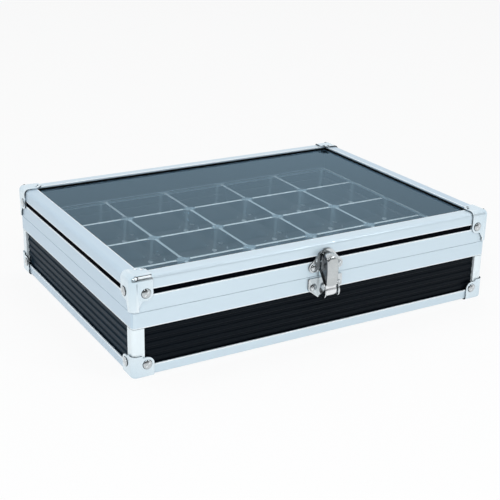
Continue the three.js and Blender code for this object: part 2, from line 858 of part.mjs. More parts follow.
for (const { name, turn, half, length } of sides) {
  const side = new THREE.Group();
  side.rotation.z = turn;
  side.position.set(0, -half, 0).applyAxisAngle(axisZ, turn);
  displayCase.add(side);
  const long = length === caseWidth;
  let lidRail = frameBar(lidRailOutline, length, half);
  let baseRail = frameBar(baseRailOutline, length, half);
  if (name === 'front') {
    lidRail = drilled(lidRail, seamHeight + catchRivetRise);
    baseRail = drilled(baseRail, seamHeight - baseRivetDrop);
  }
  const stripLength = length - 2 * (capReach - railFace);
  addPiece(side, `lid_rail_${name}`, lidRail, finishes.aluminium);
  addPiece(side, `base_rail_${name}`, baseRail, finishes.aluminium);
  addPiece(side, `foot_rail_${name}`, frameBar(footRailOutline, length, half), finishes.aluminium);
  addPiece(side, `groove_strip_${name}`, mitredBar(stripOutline, stripLength), finishes.blackPlastic);
  addPiece(side, `lid_core_${name}`, mitredBar(coreOutline, length), finishes.blackBoard);
  addPiece(side, `side_panel_${name}`, sidePanel(length, long), finishes.blackPlastic);
}

const corners = [
  { name: 'front_left', turn: 0, x: -1, y: -1 },
  { name: 'front_right', turn: Math.PI / 2, x: 1, y: -1 },
  { name: 'back_right', turn: Math.PI, x: 1, y: 1 },
  { name: 'back_left', turn: -Math.PI / 2, x: -1, y: 1 },
];

for (const { name, turn, x, y } of corners) {
  const corner = new THREE.Group();
  corner.position.set(x * caseWidth / 2, y * caseDepth / 2, 0);
  corner.rotation.z = turn;
  displayCase.add(corner);
  addPiece(corner, `lid_corner_${name}`, lidCorner(), finishes.stamped);
  addPiece(corner, `foot_corner_${name}`, footCorner(), finishes.stamped);
  addPiece(corner, `corner_post_${name}`, cornerPost(), finishes.aluminium);
}

addPiece(displayCase, 'lid_glass', glassPane(), finishes.glass);
addPiece(displayCase, 'glass_gasket', glassGasket(), finishes.blackRubber);
addPiece(displayCase, 'floor_board', floorBoard(), finishes.blackBoard);
addPiece(displayCase, 'foam_bed', foamBed(), finishes.blackFoam);
addPiece(displayCase, 'cell_tray', cellTray(), finishes.clearPlastic);

const latch = new THREE.Group();
latch.position.set(0, railFace - caseDepth / 2, seamHeight);
displayCase.add(latch);
addPiece(latch, 'latch_base_plate', latchBasePlate(), finishes.nickel);
addPiece(latch, 'latch_catch', latchCatch(), finishes.nickel);
addPiece(latch, 'latch_lever', latchLever(), finishes.nickel);
addPiece(latch, 'latch_bail', latchBail(), finishes.nickel);

for (const [hand, side] of [['left', -1], ['right', 1]]) {
  const x = side * latchRivetSpan / 2;
  const baseRivet = latchRivet().translate(x, -plateFront, -baseRivetDrop);
  const catchRivet = latchRivet().translate(x, -plateFront, catchRivetRise);
  const pivot = pivotRivet().rotateZ(side * Math.PI / 2);
  pivot.translate(side * earOutside, -pivotReach, -pivotDrop);
  addPiece(latch, `latch_base_rivet_${hand}`, baseRivet, finishes.stamped);
  addPiece(latch, `latch_catch_rivet_${hand}`, catchRivet, finishes.stamped);
  addPiece(latch, `latch_pivot_${hand}`, pivot, finishes.stamped);
}

for (const [hand, side] of [['left', -1], ['right', 1]]) {
  const hinge = new THREE.Group();
  hinge.position.set(side * (caseWidth / 2 - hingeInset), caseDepth / 2 - railFace, seamHeight);
  hinge.rotation.z = Math.PI;
  displayCase.add(hinge);
  addPiece(hinge, `hinge_base_leaf_${hand}`, baseLeaf(), finishes.nickel);
  addPiece(hinge, `hinge_lid_leaf_${hand}`, lidLeaf(), finishes.nickel);
  addPiece(hinge, `hinge_pin_${hand}`, hingePin(), finishes.nickel);
}

export default displayCase;
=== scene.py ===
from math import asin, copysign, cos, hypot, pi, radians, sin, sqrt, tan

import bmesh
import bpy
from mathutils import Matrix, Vector

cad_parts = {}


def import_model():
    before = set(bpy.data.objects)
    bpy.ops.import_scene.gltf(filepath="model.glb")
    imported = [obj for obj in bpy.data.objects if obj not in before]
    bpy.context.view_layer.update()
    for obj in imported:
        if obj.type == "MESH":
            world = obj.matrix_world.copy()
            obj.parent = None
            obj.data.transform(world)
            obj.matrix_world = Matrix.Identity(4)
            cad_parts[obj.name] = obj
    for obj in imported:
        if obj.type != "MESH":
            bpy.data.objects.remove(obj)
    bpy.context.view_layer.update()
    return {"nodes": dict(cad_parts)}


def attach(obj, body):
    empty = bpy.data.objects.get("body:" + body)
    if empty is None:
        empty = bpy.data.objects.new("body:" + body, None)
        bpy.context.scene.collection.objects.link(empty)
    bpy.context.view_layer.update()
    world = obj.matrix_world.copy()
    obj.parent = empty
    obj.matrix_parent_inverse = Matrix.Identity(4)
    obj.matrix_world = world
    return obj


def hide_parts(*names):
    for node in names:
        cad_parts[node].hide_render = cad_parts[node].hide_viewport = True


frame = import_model()

# Lengths are in millimetres in the frame of the CAD, and are scaled once when a mesh is made
MM = 0.001
WIDTH, DEPTH, HEIGHT = 330.0, 244.0, 80.0
SHIFT = 3.275
SEAM = 52.0
GAP = 0.25
BORDER = 12.2
FACE = 1.15
WALL = 1.3
SKIN = FACE + WALL
LIP = 0.85
LINED = 8.9
CAP_R, CAP_WALL, CAP_REACH = 4.5, 0.9, 17.5
RAIL_TOP = HEIGHT - FACE
BASE_TOP, LID_FOOT = SEAM - GAP / 2, SEAM + GAP / 2
LID_RIVET, FOOT_RIVET, RIVET_IN = 66.5, 10.6, 12.0
STRIP_TOP, STRIP_FOOT, STRIP_BACK = LID_RIVET + 2.1, LID_RIVET - 2.1, 2.55
PANEL_TOP, PANEL_FOOT = BASE_TOP - 12.5, FACE + 8.0
PANEL_FACE, PANEL_BACK = 4.25, 9.0
GLASS_TOP, GLASS_FOOT = 76.25, 73.25
PANE_IN = 5.55
TRAY_TOP = 57.5
TRAY_X, TRAY_Y = 150.0, 108.8
FLOOR_TOP, FOAM_TOP = 6.7, 45.625
POST_REACH = 10.6

# For each side its turn, its distance from the middle and its length
SIDES = {
    "front": (0, DEPTH / 2, WIDTH),
    "right": (90, WIDTH / 2, DEPTH),
    "back": (180, DEPTH / 2, WIDTH),
    "left": (-90, WIDTH / 2, DEPTH),
}
CORNERS = {
    "front_left": (0, -1, -1),
    "front_right": (90, 1, -1),
    "back_right": (180, 1, 1),
    "back_left": (-90, -1, 1),
}
QUARTERS = ((1, 1), (-1, 1), (-1, -1), (1, -1))

# Materials


class Nodes:
    """The node tree of a material or world, with short calls for the nodes that the finishes share."""

    def __init__(self, name, kind="materials", output="ShaderNodeOutputMaterial"):
        self.owner = getattr(bpy.data, kind).new(name)
        self.owner.use_nodes = True
        self.tree = self.owner.node_tree
        self.tree.nodes.clear()
        self.output = self.tree.nodes.new(output)

    def feed(self, socket, value):
        """Joins a socket, or sets a value: a tuple is a colour and a list another vector."""
        if isinstance(value, bpy.types.NodeSocket):
            self.tree.links.new(value, socket)
        else:
            socket.default_value = (*value, 1) if isinstance(value, tuple) else value

    def make(self, kind, output, inputs, **settings):
        """One output of a new node with the settings and inputs given."""
        node = self.tree.nodes.new(kind)
        for key, value in settings.items():
            setattr(node, key, value)
        for key, value in inputs.items():
            self.feed(node.inputs[key], value)
        return node.outputs[output]

    def close(self, shader):
        self.feed(self.output.inputs["Surface"], shader)
        return self.owner

    def principled(self, colour, rough, **values):
        inputs = {"Base Color": colour, "Roughness": rough}
        for key, value in values.items():
            inputs[key.replace("_", " ")] = value
        return self.make("ShaderNodeBsdfPrincipled", "BSDF", inputs)

    def surface(self, colour, rough, normal, **values):
        return self.close(self.principled(colour, rough, Normal=normal, **values))

    def shade(self, factor, a, b):
        return self.make("ShaderNodeMixShader", "Shader", {"Fac": factor, 1: a, 2: b})

    def place(self, scale=(1, 1, 1), turn=(0, 0, 0)):
        """Object coordinates in millimetres, scaled for a grain that runs along one axis."""
        coordinates = self.make("ShaderNodeTexCoord", "Object", {})
        inputs = {"Vector": coordinates, "Scale": [s / MM for s in scale], "Rotation": list(turn)}
        return self.make("ShaderNodeMapping", "Vector", inputs)

    def noise(self, scale, detail, roughness, *grain):
        inputs = {"Scale": scale, "Detail": detail, "Roughness": roughness, "Vector": self.place(*grain)}
        return self.make("ShaderNodeTexNoise", "Fac", inputs)

    def ramp(self, value, *stops):
        """A colour by the value, between two stops of (place, colour)."""
        node = self.tree.nodes.new("ShaderNodeValToRGB")
        for element, (place, colour) in zip(node.color_ramp.elements, stops):
            element.position = place
            element.color = (*colour, 1)
        self.feed(node.inputs["Fac"], value)
        return node.outputs["Color"]

    def span(self, value, low, high, start=0.0, end=1.0, **settings):
        """The value, taken from start..end to low..high."""
        inputs = {"Value": value, "From Min": start, "From Max": end, "To Min": low, "To Max": high}
        return self.make("ShaderNodeMapRange", "Result", inputs, **settings)

    def edges(self, start, end):
        """Where the shape is pointed, or hollow when the end lies below the start."""
        return self.span(self.make("ShaderNodeNewGeometry", "Pointiness", {}), 0, 1, start, end)

    def math(self, operation, a, b):
        return self.make("ShaderNodeMath", "Value", {0: a, 1: b}, operation=operation)

    def ray(self, kind):
        return self.make("ShaderNodeLightPath", f"Is {kind} Ray", {})

    def mix(self, factor, a, b):
        inputs = {"Factor": factor, "A": a, "B": b}
        return self.make("ShaderNodeMix", "Result", inputs, data_type="RGBA")

    def bump(self, height, strength, distance, below=None):
        inputs = {"Height": height, "Strength": strength, "Distance": distance * MM}
        if below is not None:
            inputs["Normal"] = below
        return self.make("ShaderNodeBump", "Normal", inputs)


def aluminium(name, along, dark, low, high):
    """Anodised extrusion: die lines along one axis, faint cloudiness and small handling marks."""
    n = Nodes(name)
    stretch = {"x": (0.004, 1, 1), "y": (1, 0.004, 1), "z": (1, 1, 0.006)}[along]
    lines = n.noise(2.6, 5, 0.62, stretch)
    fine = n.noise(9.0, 3, 0.5, stretch)
    cloud = n.noise(0.012, 3, 0.5)
    marks = n.noise(0.35, 4, 0.6)
    tone = n.mix(n.span(lines, 0, 0.35), n.mix(cloud, low, high), dark)
    rough = n.math("ADD", n.span(fine, 0.27, 0.40), n.span(marks, -0.03, 0.05))
    normal = n.bump(lines, 0.10, 0.05, n.bump(fine, 0.08, 0.02))
    return n.surface(tone, rough, normal, Metallic=0.5, Specular_IOR_Level=0.3)


def painted_highlight_band(name):
    """A pale band beside an edge of an extrusion, also used for the bead in the corners, with fine cross
    marks: its paler colour is a painted highlight.
    """
    n = Nodes(name)
    tone = n.mix(n.noise(0.10, 4, 0.6), (0.82, 0.90, 0.95), (0.92, 0.97, 1.0))
    fine = n.noise(6.0, 3, 0.5)
    rough = n.span(fine, 0.22, 0.34)
    return n.surface(tone, rough, n.bump(fine, 0.06, 0.02), Metallic=0.25, Specular_IOR_Level=0.4)


def stamped(name):
    """Zinc-plated pressing: smoother than the rails, with a soft orange peel and worn edges."""
    n = Nodes(name)
    peel = n.noise(0.9, 3, 0.5)
    cloud = n.noise(0.06, 4, 0.6)
    scratches = n.noise(2.2, 4, 0.7, (1, 0.05, 1), (0.3, 0.5, 0.2))
    tone = n.mix(cloud, (0.570, 0.705, 0.795), (0.650, 0.780, 0.860))
    tone = n.mix(n.edges(0.52, 0.60), tone, (0.78, 0.87, 0.92))
    rough = n.math("ADD", n.span(cloud, 0.14, 0.26), n.span(scratches, -0.04, 0.06))
    normal = n.bump(peel, 0.10, 0.06, n.bump(scratches, 0.04, 0.02))
    return n.surface(tone, rough, normal, Metallic=0.78, Specular_IOR_Level=0.5)


def painted_shade_edge(name, dark, light):
    """The sheared edge of a pressing and the like: dull and dark, the dark being a painted shade for the
    gap beside it, with drag lines, and bright again where it is worn.
    """
    n = Nodes(name)
    drag = n.noise(3.0, 4, 0.6, (1, 1, 0.2))
    patch = n.ramp(n.noise(0.16, 3, 0.6), (0.50, (0, 0, 0)), (0.60, (1, 1, 1)))
    tone = n.mix(patch, n.mix(drag, dark, light), (0.36, 0.44, 0.50))
    rough = n.span(drag, 0.45, 0.7)
    return n.surface(tone, rough, n.bump(drag, 0.2, 0.05), Metallic=0.0, Specular_IOR_Level=0.1)


def plated(name, dark, light, rough, peel=0.05):
    """Bright plating with slight waviness, a painted shade in hollows, and worn edges."""
    n = Nodes(name)
    wave = n.noise(0.55, 3, 0.5)
    cloud = n.noise(0.16, 4, 0.6)
    haze = n.noise(3.0, 3, 0.6)
    worn = tuple(min(1.0, c * 1.18) for c in light)
    tone = n.mix(n.edges(0.53, 0.64), n.mix(cloud, dark, light), worn)
    # Hollows darkened: painted shade
    tone = n.mix(n.edges(0.49, 0.38), tone, (0.10, 0.10, 0.105))
    matt = n.math("ADD", n.span(cloud, rough - 0.03, rough + 0.05), n.span(haze, -0.02, 0.03))
    return n.surface(tone, matt, n.bump(wave, 0.16, peel), Metallic=1.0)


def black_panel(name, along, low, high, ior):
    """Ribbed black plastic facing: fine grain and faint drawing lines, with a little dust."""
    n = Nodes(name)
    stretch = {"x": (0.02, 1, 1), "y": (1, 0.02, 1)}[along]
    grain = n.noise(2.4, 4, 0.6)
    drawn = n.noise(1.4, 3, 0.55, stretch)
    dust = n.noise(0.05, 5, 0.7)
    tone = n.mix(n.span(dust, 0, 0.2), n.mix(grain, low, high), (0.007, 0.010, 0.015))
    rough = n.math("ADD", n.span(drawn, 0.28, 0.42), n.span(grain, -0.04, 0.06))
    normal = n.bump(grain, 0.10, 0.05, n.bump(drawn, 0.12, 0.06))
    shine = (0.72, 0.88, 1.0)
    return n.surface(tone, rough, normal, Specular_IOR_Level=0.5, IOR=ior, Specular_Tint=shine)


def black_gloss(name, ior):
    """The groove strip: smooth black plastic, drawn along its length."""
    n = Nodes(name)
    fleck = n.noise(1.2, 4, 0.6)
    drawn = n.noise(1.8, 3, 0.5, (0.05, 0.05, 1))
    tone = n.mix(fleck, (0.0003, 0.0006, 0.0016), (0.0010, 0.0015, 0.0032))
    rough = n.span(drawn, 0.22, 0.36)
    return n.surface(tone, rough, n.bump(drawn, 0.08, 0.04), Specular_IOR_Level=0.5, IOR=ior)


def rubber(name):
    """Black rubber with a grey bloom."""
    n = Nodes(name)
    grain = n.noise(3.5, 4, 0.65)
    bloom = n.noise(0.12, 4, 0.6)
    tone = n.mix(bloom, (0.0030, 0.0034, 0.0040), (0.0085, 0.0090, 0.0100))
    rough = n.span(bloom, 0.62, 0.82)
    return n.surface(tone, rough, n.bump(grain, 0.22, 0.06), Specular_IOR_Level=0.18)


def board(name):
    """Black-faced fibreboard: pressed fibres over a matt film."""
    n = Nodes(name)
    fibre = n.noise(1.1, 6, 0.7, (1, 0.25, 1))
    cross = n.noise(1.3, 6, 0.7, (0.25, 1, 1))
    both = n.math("MULTIPLY", fibre, cross)
    tone = n.ramp(both, (0.12, (0.0050, 0.0055, 0.0065)), (0.45, (0.017, 0.018, 0.020)))
    rough = n.span(fibre, 0.72, 0.92)
    return n.surface(tone, rough, n.bump(both, 0.35, 0.12), Specular_IOR_Level=0.12)


def foam(name):
    """Fine open-cell foam: pores by a cell texture, with soft mottling."""
    n = Nodes(name)
    place = n.place()
    warp = n.make("ShaderNodeTexNoise", "Color", {"Vector": place, "Scale": 1.5})
    bent = n.make("ShaderNodeMixRGB", "Color", {"Fac": 0.25, "Color1": place, "Color2": warp})
    inputs = {"Vector": bent, "Scale": 1.7}
    cells = n.make("ShaderNodeTexVoronoi", "Distance", inputs, feature="DISTANCE_TO_EDGE")
    mottle = n.span(n.noise(0.15, 4, 0.6), 0, 0.5)
    pores = n.ramp(cells, (0.02, (0.017, 0.018, 0.020)), (0.22, (0.0030, 0.0032, 0.0038)))
    tone = n.mix(mottle, pores, (0.010, 0.0105, 0.012))
    sheen = {"Sheen_Weight": 0.15, "Sheen_Roughness": 0.6}
    return n.surface(tone, 0.95, n.bump(cells, 0.5, 0.25), Specular_IOR_Level=0.05, **sheen)


def clear(name, tint, shine, ior, rough, milk_and_highlight, milk_and_highlight_colour, wave):
    """A clear sheet: light passes straight on, and the outer face reflects by the angle. How milky it is
    sets the share that is clouded white; where that is high, on the tray's ridges, crossings, fillets and
    folds, it is a painted highlight. Wave is the scale, strength and depth of its ripples."""
    n = Nodes(name)
    scale, strength, depth = wave
    specks = n.noise(0.9, 5, 0.75)
    normal = n.bump(n.noise(scale, 2, 0.5), strength, depth)
    through = n.make("ShaderNodeBsdfTransparent", "BSDF", {"Color": tint})
    inputs = {"Color": shine, "Roughness": n.span(specks, rough * 0.6, rough * 1.5), "Normal": normal}
    gloss = n.make("ShaderNodeBsdfAnisotropic", "BSDF", inputs)
    haze = n.make("ShaderNodeBsdfDiffuse", "BSDF", {"Color": milk_and_highlight_colour})
    fresnel = n.make("ShaderNodeFresnel", "Fac", {"IOR": ior, "Normal": normal})
    front = n.math("SUBTRACT", 1.0, n.make("ShaderNodeNewGeometry", "Backfacing", {}))
    body = n.shade(n.span(specks, milk_and_highlight * 0.6, milk_and_highlight * 1.4), through, haze)
    return n.close(n.shade(n.math("MULTIPLY", fresnel, front), body, gloss))


MATERIALS = {
    # Pale bands by the rails' edges and the corners' bead: painted highlights
    "lip": painted_highlight_band("rubbed_edge"),
    "bead": painted_highlight_band("bead_painted_highlight"),
    "stamped": stamped("stamped_zinc"),
    # Dark edges and creases: painted shade for the gaps beside them
    "edge": painted_shade_edge("sheared_edge", (0.008, 0.011, 0.014), (0.035, 0.042, 0.048)),
    "crease": painted_shade_edge("crease_painted_shade", (0.20, 0.25, 0.29), (0.30, 0.36, 0.41)),
    "nickel": plated("nickel_plate", (0.52, 0.56, 0.58), (0.72, 0.76, 0.78), 0.15),
    "nickel_face": plated("nickel_lever", (0.46, 0.49, 0.50), (0.62, 0.65, 0.66), 0.22),
    # The lever's pale nose and dark cheeks: painted highlight and painted shade
    "nickel_lip": plated("nickel_lip", (0.72, 0.75, 0.77), (0.90, 0.93, 0.95), 0.24),
    "nickel_cheek": plated("nickel_cheek", (0.030, 0.032, 0.036), (0.26, 0.275, 0.29), 0.18, 0.10),
    "nickel_dark": plated("nickel_shaded", (0.16, 0.17, 0.18), (0.28, 0.29, 0.30), 0.24),
    "rivet": plated("rivet_plate", (0.46, 0.49, 0.51), (0.66, 0.70, 0.72), 0.20),
    "rubber": rubber("gasket_rubber"),
    "board": board("board_black"),
    "foam": foam("foam_black"),
}
# Copies of one aluminium with die lines along x, y or z. The side rails along y are darker, a painted
# shade, and the posts along z paler, a painted highlight, by how light falls on them
for along, dark, low, high in (
    ("x", (0.560, 0.685, 0.765), (0.610, 0.735, 0.815), (0.655, 0.770, 0.845)),
    ("y", (0.493, 0.623, 0.727), (0.537, 0.669, 0.774), (0.576, 0.700, 0.803)),
    ("z", (0.73, 0.83, 0.88), (0.80, 0.89, 0.93), (0.84, 0.92, 0.955)),
):
    MATERIALS[f"rail_{along}"] = aluminium(f"rail_aluminium_{along}", along, dark, low, high)
# The panels along y, left and right, have a paler, bluer black than those along x: a painted reflection of
# how light falls on the sides
for along, low, high, panel_ior, strip_ior in (
    ("x", (0.0012, 0.0022, 0.0038), (0.0026, 0.0042, 0.0066), 1.19, 1.06),
    ("y", (0.009, 0.021, 0.034), (0.014, 0.029, 0.044), 1.13, 1.015),
):
    MATERIALS[f"panel_{along}"] = black_panel(f"panel_black_{along}", along, low, high, panel_ior)
    MATERIALS[f"strip_{along}"] = black_gloss(f"strip_black_{along}", strip_ior)
GLASS_WAVE, TRAY_WAVE = (0.004, 0.02, 0.4), (0.10, 0.25, 0.2)
# The tray's ridges, crossings, fillets and folds are much milkier: painted highlights
for key, tint, shine, ior, rough, milk_and_highlight, milk_and_highlight_colour in (
    ("glass", (0.93, 0.965, 0.975), (0.50, 0.745, 0.935), 1.50, 0.02, 0.008, (0.45, 0.62, 0.74)),
    ("tray", (0.95, 0.965, 0.975), (0.70, 0.88, 1.0), 1.20, 0.10, 0.012, (0.55, 0.72, 0.84)),
    ("tray_ridge_x", (0.9, 0.93, 0.95), (0.8, 0.92, 1.0), 1.46, 0.12, 0.68, (0.94, 0.965, 0.99)),
    ("tray_ridge_y", (0.9, 0.93, 0.95), (0.7, 0.88, 1.0), 1.46, 0.12, 0.42, (0.86, 0.92, 0.97)),
    ("tray_cross", (0.9, 0.93, 0.95), (0.7, 0.88, 1.0), 1.40, 0.12, 0.24, (0.70, 0.80, 0.88)),
    ("tray_fillet", (0.92, 0.95, 0.97), (0.9, 0.97, 1.0), 1.50, 0.16, 0.30, (0.90, 0.94, 0.97)),
    ("tray_fold", (0.93, 0.955, 0.97), (0.9, 0.97, 1.0), 1.40, 0.16, 0.13, (0.62, 0.78, 0.88)),
):
    name = key if "_" in key else f"{key}_clear"
    wave = GLASS_WAVE if key == "glass" else TRAY_WAVE
    MATERIALS[key] = clear(name, tint, shine, ior, rough, milk_and_highlight, milk_and_highlight_colour, wave)

# Places and mesh tools


def move(x, y, z):
    return Matrix.Translation((x, y, z))


def turned(degrees, axis):
    return Matrix.Rotation(radians(degrees), 4, axis)


def place_side(side):
    turn, half, _ = SIDES[side]
    return move(0, SHIFT, 0) @ turned(turn, "Z") @ move(0, -half, 0)


def place_corner(corner):
    turn, x, y = CORNERS[corner]
    return move(x * WIDTH / 2, y * DEPTH / 2 + SHIFT, 0) @ turned(turn, "Z")


LATCH = move(0, FACE - DEPTH / 2 + SHIFT, SEAM)
FRONT_OUT = turned(90, "X")
FLANK_OUT = turned(-90, "Y")


def transform(bm, matrix, verts=None):
    bmesh.ops.transform(bm, matrix=matrix, verts=verts or bm.verts)


def settle(bm, merge=0.0):
    """Merges vertices nearer than the distance given, and turns the faces outward."""
    if merge:
        bmesh.ops.remove_doubles(bm, verts=bm.verts, dist=merge)
    bmesh.ops.recalc_face_normals(bm, faces=bm.faces)
    return bm


def add_object(name, data):
    obj = bpy.data.objects.new(name, data)
    bpy.context.scene.collection.objects.link(obj)
    return obj


def to_mesh(name, bm):
    mesh = bpy.data.meshes.new(name)
    bm.to_mesh(mesh)
    bm.free()
    return mesh


def weigh_normals(obj):
    obj.modifiers.new("weighted", "WEIGHTED_NORMAL").keep_sharp = True


def soften(obj, width, segments):
    modifier = obj.modifiers.new("soft", "BEVEL")
    modifier.width = width * MM
    modifier.segments = segments
    modifier.limit_method = "ANGLE"
    modifier.angle_limit = radians(40)
    return modifier


def new_object(name, bm, materials, matrix=None, sharp=35, weighted=True):
    """Turns a mesh in millimetres into an object in metres, smooth but for edges over the angle given.
    The materials are keys with a space between."""
    if matrix is not None:
        transform(bm, matrix)
    transform(bm, Matrix.Scale(MM, 4))
    mesh = to_mesh(name, bm)
    for key in materials.split():
        mesh.materials.append(MATERIALS[key])
    mesh.shade_smooth()
    mesh.set_sharp_from_angle(angle=radians(sharp))
    obj = add_object(name, mesh)
    if weighted:
        weigh_normals(obj)
    return obj


def assign(obj, body, slot, *nodes):
    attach(obj, body)
    if nodes:
        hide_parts(*nodes)
    return obj


def piece(name, bm, materials, body, slot, *nodes, **looks):
    return assign(new_object(name, bm, materials, **looks), body, slot, *nodes)


def arc_points(x, y, radius, start, end, steps):
    """Points on an arc round (x, y), between two angles in degrees."""
    angles = [radians(start + (end - start) * k / steps) for k in range(steps + 1)]
    return [(x + radius * cos(a), y + radius * sin(a)) for a in angles]


def circle(count):
    """The cosines and sines of angles that are evenly spaced, once round."""
    return arc_points(0, 0, 1, 0, 360, count)[:-1]


def rounded(points, steps=3):
    """A closed outline with its corners rounded. Each point is (x, y) or (x, y, radius)."""
    out = []
    for i, point in enumerate(points):
        here = Vector(point[:2])
        radius = point[2] if len(point) > 2 else 0
        before = Vector(points[i - 1][:2]) - here
        after = Vector(points[(i + 1) % len(points)][:2]) - here
        plain = radius <= 0 or min(before.length, after.length) < 1e-9
        if plain or before.angle(after) > pi - 1e-3:
            out.append(here)
            continue
        half = before.angle(after) / 2
        reach = min(radius / tan(half), before.length * 0.49, after.length * 0.49)
        bisector = (before.normalized() + after.normalized()).normalized()
        centre = here + bisector * (reach * tan(half) / sin(half))
        start = here + before.normalized() * reach - centre
        end = here + after.normalized() * reach - centre
        sweep = start.angle_signed(end)
        for k in range(steps + 1):
            out.append(centre + Matrix.Rotation(-sweep * k / steps, 2) @ start)
    return [(v.x, v.y) for v in out]


def round_rect(half_x, half_y, radius, steps):
    points = []
    for quarter, (sx, sy) in enumerate(QUARTERS):
        x, y = sx * (half_x - radius), sy * (half_y - radius)
        points += arc_points(x, y, radius, 90 * quarter, 90 * quarter + 90, steps)
    return points


def skin(bm, rows, marks=(0,), ends=0, closed=True):
    """Faces between the rows of vertices, and over both ends unless ends is None. The marks are the
    materials of the faces along a row, in turn. A row that is closed runs back to its start."""
    for a, b in zip(rows, rows[1:]):
        for i in range(len(a) if closed else len(a) - 1):
            j = (i + 1) % len(a)
            bm.faces.new((a[i], a[j], b[j], b[i])).material_index = marks[i % len(marks)]
    if ends is not None:
        bm.faces.new(rows[0][::-1]).material_index = ends
        bm.faces.new(rows[-1]).material_index = ends
    return bm


def prism(bm, points, low, high, lift):
    """A closed prism. lift turns (outline x, outline y, depth) into a place."""
    rows = [[bm.verts.new(lift(x, y, depth)) for x, y in points] for depth in (low, high)]
    return settle(skin(bm, rows))


def side_prism(bm, points, low, high):
    """A prism along a side of the case, from a section of (depth, height)."""
    return prism(bm, points, low, high, lambda depth, z, along: (along, depth, z))


def lathe(bm, profile, segments, matrix=None):
    """Turns (radius, height) pairs about Z. A pair without a radius is a point on the axis."""
    rings = []
    for radius, height in profile:
        spots = [(radius * c, radius * s, height) for c, s in circle(segments)]
        rings.append([bm.verts.new(spot) for spot in (spots if radius > 1e-6 else spots[:1])])
    for low, high in zip(rings, rings[1:]):
        for k in range(segments):
            m = (k + 1) % segments
            if len(low) == 1 and len(high) > 1:
                bm.faces.new((low[0], high[m], high[k]))
            elif len(high) == 1 and len(low) > 1:
                bm.faces.new((low[k], low[m], high[0]))
            elif len(low) > 1:
                bm.faces.new((low[k], low[m], high[m], high[k]))
    made = [v for row in rings for v in row]
    if matrix is not None:
        transform(bm, matrix, made)
    return made


def mark(bm, verts, material):
    """Gives a material to the faces that lie between the vertices."""
    chosen = set(verts)
    for face in bm.faces:
        if all(v in chosen for v in face.verts):
            face.material_index = material


def scratch(bm):
    """A helper object for booleans, in millimetres."""
    return add_object("scratch", to_mesh("scratch", settle(bm)))


def combine(target, tool, operation):
    """Applies an exact boolean to the target, and removes the tool."""
    modifier = target.modifiers.new("cut", "BOOLEAN")
    modifier.operation = operation
    modifier.object = tool
    modifier.solver = "EXACT"
    bpy.context.view_layer.update()
    graph = bpy.context.evaluated_depsgraph_get()
    mesh = bpy.data.meshes.new_from_object(target.evaluated_get(graph))
    target.modifiers.clear()
    old = target.data
    target.data = mesh
    bpy.data.meshes.remove(old)
    bpy.data.objects.remove(tool)


def box_bm(x0, x1, y0, y1, z0, z1):
    bm = bmesh.new()
    bmesh.ops.create_cube(bm, size=1)
    size = Matrix.Diagonal((abs(x1 - x0), abs(y1 - y0), abs(z1 - z0), 1))
    transform(bm, move((x0 + x1) / 2, (y0 + y1) / 2, (z0 + z1) / 2) @ size)
    return bm


def bevel(bm, edges, radius, segments):
    bmesh.ops.bevel(bm, geom=edges, offset=radius, segments=segments, profile=0.5, affect="EDGES")
    return bm


# Frame rails, groove strips, corner posts and panels


def is_lip(a, b):
    """Whether a run of the section is one of the narrow bands beside an outer edge, or along the inner top
    edge, that are made paler as a painted highlight.
    """
    middle = (a[1] + b[1]) / 2
    outer = max(a[0], b[0]) < FACE + 0.45
    bands = (STRIP_TOP, STRIP_FOOT, PANEL_TOP, PANEL_FOOT)
    beside = any(abs(middle - z) < LIP for z in bands)
    inner_top = min(a[1], b[1]) > RAIL_TOP - 0.5 and (a[0] + b[0]) / 2 > BORDER - LIP
    return (outer and beside) or inner_top


def swept_side(profile, length, steps=6, mitre_gap=0.06):
    """One side of the frame from its section of (depth, height). Near the surface the points follow the
    round of the corner, and further in they meet the next side at the mitre."""
    bm = bmesh.new()
    half = length / 2
    rows = []
    for end, order in ((-1, range(steps + 1)), (1, range(steps, -1, -1))):
        for k in order:
            phi = radians(45) * (1 - k / steps)
            row = []
            for depth, height in profile:
                radius = CAP_R - depth
                u = half - CAP_R + radius * sin(phi) if radius > 0 else half - depth
                d = CAP_R - radius * cos(phi) if radius > 0 else depth
                row.append(bm.verts.new((end * (u - mitre_gap * (1 - k / steps)), d, height)))
            rows.append(row)
    marks = []
    for a, b in zip(profile, profile[1:] + profile[:1]):
        lined = min(a[0], b[0]) > LINED and max(a[1], b[1]) < STRIP_FOOT
        # Material 1 is the pale band, a painted highlight; material 2 is the board
        marks.append(2 if lined else 1 if is_lip(a, b) else 0)
    skin(bm, rows, marks)
    bmesh.ops.remove_doubles(bm, verts=bm.verts, dist=1e-5)
    bmesh.ops.dissolve_degenerate(bm, edges=bm.edges, dist=1e-5)
    return settle(bm)


# The tongue of the base rail enters a slot in the lid rail
TONGUE_NEAR, TONGUE_FAR, TONGUE_TOP = 4.6, 5.8, 53.375
SLOT_NEAR, SLOT_FAR, SLOT_TOP = TONGUE_NEAR - GAP, TONGUE_FAR + GAP, TONGUE_TOP + 0.5
HEM_FAR = PANEL_BACK + GAP + 1.1
FLANGE_FAR = 13.95

